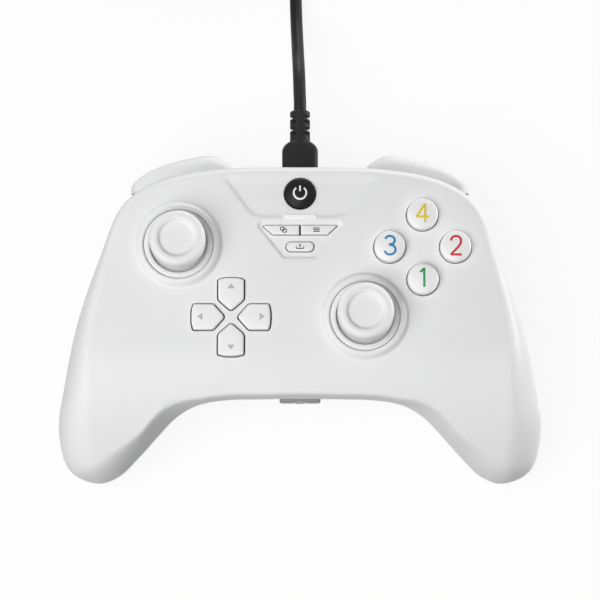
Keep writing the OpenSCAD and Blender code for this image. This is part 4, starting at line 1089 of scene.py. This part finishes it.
def cut_away(piece, forms):
    """Take closed forms away from a piece and keep the result as its mesh."""
    cutters = []
    for form in forms:
        mesh = bpy.data.meshes.new("cutter")
        mesh.from_pydata([Vector(p) * MM for p in form.points], [], form.faces)
        work = bmesh.new()
        work.from_mesh(mesh)
        bmesh.ops.recalc_face_normals(work, faces=work.faces)
        work.to_mesh(mesh)
        work.free()
        cutter = bpy.data.objects.new("cutter", mesh)
        scene.collection.objects.link(cutter)
        cutters.append(cutter)
        cut = piece.modifiers.new("opening", "BOOLEAN")
        cut.operation = "DIFFERENCE"
        cut.solver = "EXACT"
        cut.object = cutter
    bpy.context.view_layer.update()
    seen = piece.evaluated_get(bpy.context.evaluated_depsgraph_get())
    result = bpy.data.meshes.new_from_object(seen)
    piece.modifiers.clear()
    old = piece.data
    piece.data = result
    bpy.data.meshes.remove(old)
    for cutter in cutters:
        bpy.data.meshes.remove(cutter.data)
    without_flaps(result)
    result.shade_smooth()
    result.set_sharp_from_angle(angle=math.radians(usual_crease))


rear_steps = 12
rear_cols = 64
hollow_cols = 32


def rear_skin(deep, cols):
    """Skin of the rear half at a depth below its surface, and the points along its edge."""
    grid, tips = case_grid(-1, deep, rear_steps, cols)
    form = Form()
    form.ring(grid.reshape(-1, 3))
    form.faces += grid_faces(len(grid), cols)
    ends = add_grip_ends(form, tips, len(grid), cols)
    return form, edge_chain(len(grid), cols, ends)


rear, outer_edge = rear_skin(0.0, rear_cols)
hollow, inner_edge = rear_skin(wall, hollow_cols)
hollow_first = len(rear.points)
rear.join(hollow)
rear.band(outer_edge, [k + hollow_first for k in inner_edge])
rear_piece = make_piece(rear, "case rear", white_plastic, nodes=["rear_shell"])
rear_cuts = []
for side in (-1, 1):
    axes = trigger_axes(side)
    rear_cuts.append(block((-20.5, -1.2, -4), (16.2, 38.8, 46)).moved(axes))
    hub = Form()
    hub.lathe([(3.5, -ear_in), (3.5, ear_in)], (0, 0, 0), 40)
    rear_cuts.append(hub.moved(axes @ pin_axis))
    for s in (-1, 1):
        x = s * (ear_in + ear_t / 2)
        half = ear_t / 2 + part_clear
        rear_cuts.append(block((x - half, -9.3, 18.0), (x + half, 2.7, 30.0)).moved(axes))
boot_slot = Form()
slot_line = pad_line(boot_w + part_clear, boot_h + part_clear, 2.15)
boot_slot.loft([[(p[0], y, boot_z + p[1]) for p in slot_line] for y in (40, 60)])
rear_cuts.append(boot_slot)
jack_half = jack_w / 2 + 0.2
jack_low = jack_z - jack_h / 2 - 0.25
jack_high = jack_z + jack_h / 2 + 0.25
rear_cuts.append(block((-jack_half, -40, jack_low), (jack_half, -10.2, jack_high)))
for x, y in inner_posts + outer_posts:
    well = Form()
    well.lathe([(well_r, -6), (well_r, 14.0)], (x, y, 0), 40)
    rear_cuts.append(well)
cut_away(rear_piece, rear_cuts)

wells = Form()
for x, y in inner_posts + outer_posts:
    top = inner_post_top if (x, y) in inner_posts else plane_z(y) - seam / 2
    floor_z = top - seat_depth
    mouth = float(low_z(x, y)) + 0.8
    sleeve = [(well_r, mouth), (well_r, floor_z), (screw_r, floor_z), (screw_r, floor_z + 1.0)]
    sleeve += [(well_r + 1.4, floor_z + 1.0), (well_r + 1.4, mouth)]
    wells.lathe(sleeve, (x, y, 0), 40, False, False)
make_piece(wells, "screw wells", white_plastic, outward=False)

rest = Form()
rest_y = 13
rest_w = 56
rest_d = 30
rest_r = 7
rest_rings = []
rest_stations = [(-1.6, 2, 0.0), (-0.9, 2, 0.05), (-0.35, 2, 0.3), (0.0, 2, 0.8)]
rest_stations += [(9.0 * k / 8, 3, mix(0.8, 11.2, k / 8)) for k in range(1, 9)]
for more, share, z in rest_stations:
    line = pad_line(rest_w + more, rest_d + more, rest_r + more / share, 8)
    rest_rings.append([(p[0], rest_y + p[1], z) for p in line])
rest.loft(rest_rings)
make_piece(rest, "rest pad", white_plastic)

# Shoulder keys
bump_z = 25.6
bump_top = 33.5
bump_outer = [(19.9, 47.4), (23.7, 50.5), (27.9, 52.1), (34.1, 51.4), (41.4, 49.6), (46.6, 47.5),
    (51.3, 44.6), (53.2, 42.5), (53.4, 39.8)]
bump_inner = [(19.9, 44.2), (26, 44), (36, 43.4), (44, 41), (49.5, 38.6)]


def spread_along(points, count):
    """The line through the points as so many points at even distances."""
    p = np.array(points, float)
    run = np.concatenate([[0.0], np.cumsum(np.linalg.norm(np.diff(p, axis=0), axis=1))])
    at = np.linspace(0.0, run[-1], count)
    return np.column_stack([np.interp(at, run, p[:, k]) for k in range(p.shape[1])])


def bumper_form(side):
    outer = spread_along(curve_through(bump_outer, 10), 90)
    inner = spread_along(bump_inner, 90)
    form = Form()
    rings = []
    for o, i in zip(outer, inner):
        width = float(np.linalg.norm(o - i))
        turn_in = min(0.85 * width, 4.4)
        ring = []
        for a in np.linspace(0.0, 1.0, 15) ** 0.6:
            p = mix(i, o, a)
            d = (1 - a) * width
            full = min(bump_top, plane_z(p[1]) - seam / 2 - part_clear)
            edge = min(bump_z + 2.4, full - 0.4)
            ring.append((side * p[0], p[1], mix(edge, full, float(bulge(d, turn_in)))))
        for a in (1.0, 0.93, 0.8, 0.4, 0.0):
            p = mix(i, o, a)
            d = (1 - a) * width
            ring.append((side * p[0], p[1], bump_z + 0.8 * (1 - float(bulge(d, 0.9)))))
        rings.append(ring)
    form.loft(rings)
    return form


trig_front = [(1.5, 3.1), (5.4, 2.2), (7.4, -2), (7.9, -7), (7.1, -12), (7.6, -15.8), (8.8, -18.2)]
trig_back = [(7.6, -18.9), (5.4, -16.4), (4, -11.5), (3.3, -6.5)]


def trigger_form(side):
    """Curved finger blade on a bored hub, drawn along its pin."""
    form = Form()
    line = [tuple(p) for p in curve_through(trig_front, 6) + curve_through(trig_back, 6)]
    line += arc((0.0, 0.0), 2.9, -68, 60, 8)
    corners = [np.array(q) for q in line][::-1]
    half = trig_w / 2
    edge_r = 0.9
    rings = []
    stations = [0.0, 0.06, 0.2, 0.45, 0.9] + list(np.linspace(1.5, trig_w - 1.5, 29))
    stations += [trig_w - k for k in (0.9, 0.45, 0.2, 0.06, 0.0)]
    for at in stations:
        from_end = min(at, trig_w - at, edge_r)
        less = edge_r - math.sqrt(max(0.0, edge_r ** 2 - (edge_r - from_end) ** 2))
        x = at - half
        limit = 9.2
        if x < 4 - half:
            limit = 5.2 + math.sqrt(max(0.0, 16 - (x + half - 4) ** 2))
        if x > half - 6:
            limit = 3.2 + math.sqrt(max(0.0, 36 - (x - half + 6) ** 2))
        rings.append([(x, min(p[0], limit), trig_at[2] + p[1]) for p in grown(corners, -less * 0.9)])
    form.loft(rings)
    hub = Form()
    hub_profile = [(1.56, 3 - half), (3.0, 3 - half), (3.2, 3.2 - half), (3.2, half - 0.2), (3.0, half)]
    hub_profile += [(1.56, half), (1.56, 3 - half)]
    hub.lathe(hub_profile, (0, 0, 0), 48, False, False)
    hub.moved(pin_axis)
    return form.join(hub).moved(trigger_axes(side))


for side, name in ((-1, "left"), (1, "right")):
    cover = bumper_form(side)
    body = name + "_bumper"
    make_piece(cover, name + " bumper cover", white_plastic, body, [body], 45.0)
    blade = trigger_form(side)
    body = name + "_trigger"
    make_piece(blade, name + " trigger blade", white_plastic, body, [body], 40.0)

# Keys: rounded tops over straight sides, with stems down to the pads below
under = face_z - wall - 0.3
ink_up = 0.02
ink_down = 0.06


def at_height(line, z):
    return [(p[0], p[1], z) for p in line]


def key_form(line, middle, top, edge_r, crown, low, stem_r, stem_low):
    """A key from its outline: side, rounded edge and slightly crowned top."""
    form = Form()
    rings = [at_height(line(0.0), low), at_height(line(0.0), top - edge_r)]
    for k in range(1, 6):
        a = math.radians(90 * k / 5)
        rings.append(at_height(line(edge_r * (math.cos(a) - 1)), top - edge_r + edge_r * math.sin(a)))
    edge = line(-edge_r)
    for s in (0.86, 0.7, 0.54, 0.38, 0.22, 0.08):
        z = top + crown * (1 - s * s)
        rings.append([(mix(middle[0], p[0], s), mix(middle[1], p[1], s), z) for p in edge])
    form.loft(rings)
    form.lathe([(stem_r, stem_low), (stem_r, low + 0.5)], (middle[0], middle[1], 0), 32)
    return form


def key_foot(r, stem_low, low, shelf, side_top):
    """Profile of a round key's stem, flange and side."""
    return [(r * 0.6, stem_low), (r * 0.6, low), (r + 1, low), (r + 1, shelf), (r, shelf), (r, side_top)]


def ribbon(form, points, width, height, closed=False):
    """A flat printed stroke along a line, a little above the surface it is on."""
    p = [np.array(q, float) for q in points]
    n = len(p)
    rings = []
    for k in range(n):
        before = p[k - 1] if closed or k > 0 else p[k]
        after = p[(k + 1) % n] if closed or k < n - 1 else p[k]
        way = unit(after - before)
        side = np.array([-way[1], way[0]]) * width / 2
        a = p[k] + side
        b = p[k] - side
        rings.append([(a[0], a[1], height(*a) + ink_up), (b[0], b[1], height(*b) + ink_up),
            (b[0], b[1], height(*b) - ink_down), (a[0], a[1], height(*a) - ink_down)])
    if closed:
        rings.append(rings[0])
    form.loft(rings, not closed, not closed)


def printed_patch(form, points, height):
    """A flat printed patch with the points as its outline."""
    low = [(x, y, height(x, y) - ink_down) for x, y in points]
    high = [(x, y, height(x, y) + ink_up) for x, y in points]
    form.loft([low, high])


def face_key_z(r):
    """Height of an action key's top at a distance from its middle."""
    return face_z + face_key_h - face_key_crown * (r / (face_key_r - 0.7)) ** 2


two_bow = [(-0.27, 0.25), (-0.19, 0.43), (0.0, 0.5), (0.2, 0.43), (0.27, 0.24), (0.2, 0.02), (-0.28, -0.5)]
three_top = [(-0.26, 0.34), (-0.16, 0.46), (0.0, 0.5), (0.18, 0.44), (0.25, 0.27), (0.18, 0.1),
    (-0.06, 0.03)]
three_low = [(-0.06, 0.03), (0.2, -0.04), (0.29, -0.23), (0.21, -0.42), (0.0, -0.5), (-0.19, -0.45),
    (-0.29, -0.3)]
numbers = {
    "1": [[(-0.16, 0.3), (0.05, 0.5), (0.05, -0.5)]],
    "2": [[tuple(q) for q in curve_through(two_bow, 5)] + [(0.3, -0.5)]],
    "3": [curve_through(three_top, 5), curve_through(three_low, 5)],
    "4": [[(0.13, -0.5), (0.13, 0.5), (-0.33, -0.2), (0.34, -0.2)]],
}
pad_top = 33.5
centre_pad_top = 36.0
number_size = 5.8
number_stroke = 0.72
face_marks = {"north": ("4", mark_yellow), "west": ("3", mark_blue), "east": ("2", mark_red),
    "south": ("1", mark_green)}
for name, at in face_spots.items():
    r = face_key_r
    z = face_z + face_key_h
    profile = key_foot(r, pad_top, under - 2.0, under - 0.6, z - 1.25)
    for k in range(1, 8):
        a = math.radians(12 + 70 * k / 7)
        profile.append((r - 0.78 + 0.8 * math.cos(a), z - 1.2 + 0.84 * math.sin(a)))
    profile += [(q, face_key_z(q)) for q in (3.9, 3.6, 3.2, 2.6, 2.0, 1.4, 0.8, 0.25)]
    key = Form()
    key.lathe(profile, (at[0], at[1], 0), 96)
    body = "face_button_" + name
    make_piece(key, name + " action key", key_plastic, body, [body])
    mark = Form()
    number, ink = face_marks[name]
    for stroke in numbers[number]:
        line = [(at[0] + number_size * q[0], at[1] + 0.15 + number_size * q[1]) for q in stroke]
        line = spread_along(line, 40)
        ribbon(mark, line, number_stroke, lambda x, y, c=at: face_key_z(math.hypot(x - c[0], y - c[1])))
    make_piece(mark, name + " key number", ink, body)

dpad_top = face_z + 1.1
dpad_crown = 0.1
dpad_arrow_shade = ((-1.15, 8.75), (1.15, 8.75), (0, 10.35))
for name, turn in dpad_turns.items():
    body = "dpad_" + name
    key = key_form(lambda g, by=turn: dpad_line(g, by), dpad_point((0, 7.9), turn), dpad_top,
        edge_r=0.45, crown=dpad_crown, low=under - 2.6, stem_r=2.6, stem_low=pad_top)
    make_piece(key, name + " direction key", key_plastic, body, [body])
    mark = Form()
    # Grey triangle on each key: painted shade of a debossed arrow, laid flat on the key top.
    printed_patch(mark, [dpad_point(p, turn) for p in dpad_arrow_shade], lambda x, y: dpad_top + dpad_crown)
    make_piece(mark, name + " direction mark", painted_arrow_shade, body)

home = Form()
home_top = face_z + 1.7
home_crown = 1.2
home_profile = key_foot(home_r, centre_pad_top, under - 2.6, under - 1.2, home_top - 1.3)


def home_z(r):
    return home_top - home_crown * (r / home_r) ** 2.6


home_profile += [(q, home_z(q)) for q in (4.65, 4.5, 4.3, 4.0, 3.5, 3.0, 2.4, 1.8, 1.2, 0.6, 0.2)]
home.lathe(home_profile, (home_at[0], home_at[1], 0), 96)
make_piece(home, "home key", gloss_black, "home_button", ["home_button"])
sign = Form()


def home_surface(x, y):
    return home_z(math.hypot(x - home_at[0], y - home_at[1]))


sign_r = 1.95
home_stroke = 0.55
arc_line = arc((home_at[0], home_at[1] - 0.15), sign_r, 128, 412, 40)
ribbon(sign, arc_line, home_stroke, home_surface)
ribbon(sign, [(home_at[0], home_at[1] + up) for up in (0.35, 1.2, 2.15)], home_stroke, home_surface)
make_piece(sign, "home key sign", mark_white, "home_button")

small_top = face_z - recess_depth + 0.9
small_low = under - 1.2
small_crown = 0.05


def small_surface(x, y):
    return small_top + small_crown


for side, name in ((-1, "view"), (1, "menu")):
    body = name + "_button"
    key = key_form(lambda g, k=side: option_line(g, k), (side * 5.3, option_y), small_top,
        edge_r=0.3, crown=small_crown, low=small_low, stem_r=1.3, stem_low=centre_pad_top)
    make_piece(key, name + " key", key_plastic, body, [body])
share_key = key_form(share_line, (0.0, share_y), small_top,
    edge_r=0.35, crown=small_crown, low=small_low, stem_r=1.4, stem_low=centre_pad_top)
make_piece(share_key, "share key", key_plastic, "share_button", ["share_button"])

windows = Form()
for x, y in ((-5.45, option_y + 0.32), (-4.75, option_y - 0.28)):
    square = [(x + q[0], y + q[1]) for q in pad_line(1.15, 1.0, 0.25, 3)]
    ribbon(windows, square, 0.3, small_surface, True)
make_piece(windows, "view key sign", mark_dark, "view_button")
bars = Form()
for k in (-1, 0, 1):
    ribbon(bars, [(x, option_y + 0.52 * k) for x in (4.1, 5.1, 6.1)], 0.32, small_surface)
make_piece(bars, "menu key sign", mark_dark, "menu_button")
tray = Form()
tray_stroke = 0.36
tray_line = [(-1.15, 0.1), (-1.15, -0.62), (1.15, -0.62), (1.15, 0.1)]
ribbon(tray, [(x, share_y + up) for x, up in tray_line], tray_stroke, small_surface)
ribbon(tray, [(0, share_y + up) for up in (-0.25, 0.1, 0.4)], tray_stroke, small_surface)
printed_patch(tray, [(-0.42, share_y + 0.35), (0.42, share_y + 0.35), (0, share_y + 0.85)], small_surface)
make_piece(tray, "share key sign", mark_dark, "share_button")

plate = Form()
plate_y = 29.16
plate_w = 10.2
plate_d = 1.65
plate_rings = []
for less, z in ((0.0, -0.5), (0.0, 0.06), (0.08, 0.12), (0.3, 0.14)):
    line = pad_line(plate_w - less, plate_d - less, 0.12, 4)
    plate_rings.append([(p[0], plate_y + p[1], face_z - 0.12 + z) for p in line])
plate.loft(plate_rings)
make_piece(plate, "bare plate", plate_plastic)

# Sticks: dome, neck and thumb cap turned in one
pivot_z = 31.0
neck_r = 2.7
cap_r = 8.6
cap_top = 24.2
cap_round = 1.75
cap_edge_r = 0.6
dome_r = 14.8
dome_in_r = 13.8
dome_from = 22
cap_profile = arc((0.0, 0.0), dome_r, dome_from, math.degrees(math.acos(neck_r / dome_r)), 20)
cap_profile += [(neck_r, 15.2), (neck_r, 16.4), (2.78, 17.1), (3.1, 17.75), (3.9, 18.3), (5.0, 18.75)]
cap_profile += [(6.1, 18.97), (7.0, 18.92), (7.5, 18.7), (7.75, 18.54)]
cap_profile += arc((cap_r - cap_edge_r, 19.1), cap_edge_r, -80, 0, 5)
for k in range(15):
    a = math.radians(90 * k / 14)
    across = cap_r - cap_round + cap_round * math.cos(a) ** 0.9
    cap_profile.append((across, cap_top - cap_round + cap_round * math.sin(a) ** 0.9))
cap_profile += [(6.3, 24.19), (6.05, 24.12), (5.85, 24.0), (5.67, 23.84), (5.5, 23.65), (5.33, 23.48)]
cap_profile += [(5.13, 23.36)]
cap_profile += [(4.85, 23.3), (4.4, 23.28), (3.4, 23.26), (2.2, 23.25), (1.1, 23.24), (0.3, 23.24)]
dome_low = [(2.1, 7.6), (4.0, 7.6)] + arc((0.0, 0.0), dome_in_r, 72, dome_from, 8)
guide_r = stick_hole_r - 0.14
guide_hole_r = 8.9
guide_top = 1.19
guide_low = -0.78
guide_profile = [(guide_hole_r, guide_low), (guide_r, guide_low), (guide_r, guide_top - 0.2)]
guide_profile += [(guide_r - 0.06, guide_top - 0.06), (guide_r - 0.2, guide_top)]
guide_profile += [(guide_r - 0.7, guide_top + 0.01), (guide_hole_r + 0.5, guide_top)]
guide_profile += [(guide_hole_r + 0.25, guide_top - 0.08), (guide_hole_r + 0.08, guide_top - 0.25)]
guide_profile += [(guide_hole_r, guide_top - 0.5), (guide_hole_r, guide_low)]
for name, at in stick_spots.items():
    cap = Form()
    cap.lathe(dome_low + cap_profile, (at[0], at[1], pivot_z), 128, False, True)
    body = name + "_stick"
    make_piece(cap, name + " thumb cap", cap_rubber_and_painted_shade, body, [body + "_cap"], 60.0)
    guide = Form()
    guide.lathe(guide_profile, (at[0], at[1], face_z), 128, False, False)
    make_piece(guide, name + " guide ring", white_plastic, "case", [body + "_ring"], 60.0)

# Headset socket between the grips
jack = Form()
jack_rings = []
for less, y in ((0.0, 15.0), (0.0, 0.45), (0.14, 0.18), (0.4, 0.04), (0.8, 0.0)):
    line = pad_line(jack_w - less, jack_h - less, 1.2 - less / 3, 6)
    jack_rings.append([(p[0], jack_y + y, jack_z + p[1]) for p in line])
jack_made = jack.loft(jack_rings, True, False)
jack_front = [(jack.points[k][0], jack.points[k][2] - jack_z) for k in jack_made[-1]]
socket_flat, socket_tris, socket_chains = filled(jack_front, [circle((0, 0), 2.5, 48)], 0.8)
socket_first = jack.sheet([(x, jack_y, jack_z + z) for x, z in socket_flat], socket_tris)
last = [k + socket_first for k in socket_chains[1]]
for radius, deep in ((2.35, 0.25), (jack_r, 0.35), (jack_r, 13.5), (0.2, 13.6)):
    ring = jack.ring([(x, jack_y + deep, jack_z + z) for x, z in circle((0, 0), radius, 48)])
    jack.band(last, ring)
    last = ring
make_piece(jack, "headset socket", jack_plastic, nodes=["headset_jack"], outward=False)
sleeve = Form()
sleeve_profile = [(1.85, 0.3), (1.85, -0.12), (1.95, -0.2), (2.2, -0.2), (2.32, -0.1), (2.32, 0.3)]
sleeve.lathe(sleeve_profile, (0, 0, 0), 48, False, False)
sleeve.moved(Matrix.Translation((0, jack_y, jack_z)) @ Matrix.Rotation(-math.pi / 2, 4, "X"))
make_piece(sleeve, "socket sleeve", steel)

# Finishes of the inner pieces kept from the CAD
paired_finish = {
    dark_plastic: ["trigger_frame", "stick_yoke", "stick_sensors"],
    grey_plastic: ["stick_shaft", "stick_arch"],
    steel: ["trigger_pin", "trigger_spring", "stick_pin", "stick_base", "motor"],
    brass: ["motor_weight"],
}
single_finish = {
    dark_plastic: ["bumper_switches"],
    steel: ["bumper_pins", "shell_screws"],
    board_green: ["main_board"],
    silicone: ["face_button_pad", "dpad_pad", "centre_button_pad"],
}
inner_finish = [(finish, side + name) for finish, names in paired_finish.items()
    for name in names for side in ("left_", "right_")]
inner_finish += [(finish, name) for finish, names in single_finish.items() for name in names]
for finish, name in inner_finish:
    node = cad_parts[name]
    node.data.materials.clear()
    node.data.materials.append(finish)

# Floor, surroundings and lamps
floor_mesh = bpy.data.meshes.new("floor")
floor_half = 3.0
floor_drop = 0.0002
floor_corners = [(x * floor_half, y * floor_half, 0) for x, y in ((-1, -1), (1, -1), (1, 1), (-1, 1))]
floor_mesh.from_pydata(floor_corners, [], [(0, 1, 2, 3)])
floor = bpy.data.objects.new("floor", floor_mesh)
floor.location.z = -floor_drop
scene.collection.objects.link(floor)
floor_finish = Finish(bpy.data.materials.new("floor"))
floor_noise = floor_finish.noise(floor_finish.place(), 30.0)
floor_colour = floor_finish.between(floor_noise, rgba(0.27, 0.27, 0.27), rgba(0.30, 0.30, 0.30))
floor_pale = floor_finish.between(floor_noise, rgba(0.93, 0.93, 0.93), rgba(0.96, 0.96, 0.96))
floor_matt = floor_finish.put("ShaderNodeBsdfDiffuse", {}, {"Color": floor_colour})
floor_paper = floor_finish.put("ShaderNodeBsdfDiffuse", {}, {"Color": floor_pale})
floor_white = floor_finish.put("ShaderNodeEmission", {}, {"Color": rgba(1, 1, 1), "Strength": 1.0})
floor_share = 0.88
floor_shown = floor_finish.put("ShaderNodeMixShader", {}, {0: floor_share, 1: floor_paper, 2: floor_white})
floor_seen = floor_finish.seen_white()
floor_mix = floor_finish.put("ShaderNodeMixShader", {}, {0: floor_seen, 1: floor_matt, 2: floor_shown})
floor_finish.put("ShaderNodeOutputMaterial", {}, {"Surface": floor_mix})
floor_mesh.materials.append(floor_finish.owner)

studio = Finish(bpy.data.worlds.new("studio"))
scene.world = studio.owner
studio_soft = studio.put("ShaderNodeBackground", {}, {"Color": rgba(0.97, 0.98, 1.0), "Strength": 0.14})
studio_white = studio.put("ShaderNodeBackground", {}, {"Color": rgba(1, 1, 1), "Strength": 1.0})
studio_seen = studio.seen_white()
studio_mix = studio.put("ShaderNodeMixShader", {}, {0: studio_seen, 1: studio_soft, 2: studio_white})
studio.put("ShaderNodeOutputWorld", {}, {"Surface": studio_mix})


def lamp(name, place, aim, wide, tall, power):
    data = bpy.data.lights.new(name, "AREA")
    data.shape = "ELLIPSE"
    data.size = wide
    data.size_y = tall
    data.energy = power
    data.color = (1.0, 1.0, 1.0)
    thing = bpy.data.objects.new(name, data)
    scene.collection.objects.link(thing)
    thing.location = place
    thing.rotation_euler = (Vector(aim) - Vector(place)).to_track_quat("-Z", "Y").to_euler()


lamp("main lamp", (-0.4, -0.29, 0.96), (0, 0, 0.03), 1.1, 1.1, 11.7)
lamp("back strip", (0.0, 0.6, 0.024), (0, 0.05, 0.024), 0.4, 0.036, 1.65)
lamp("right strip", (0.53, 0.19, 0.022), (0.06, 0.01, 0.022), 0.3, 0.034, 2.1)
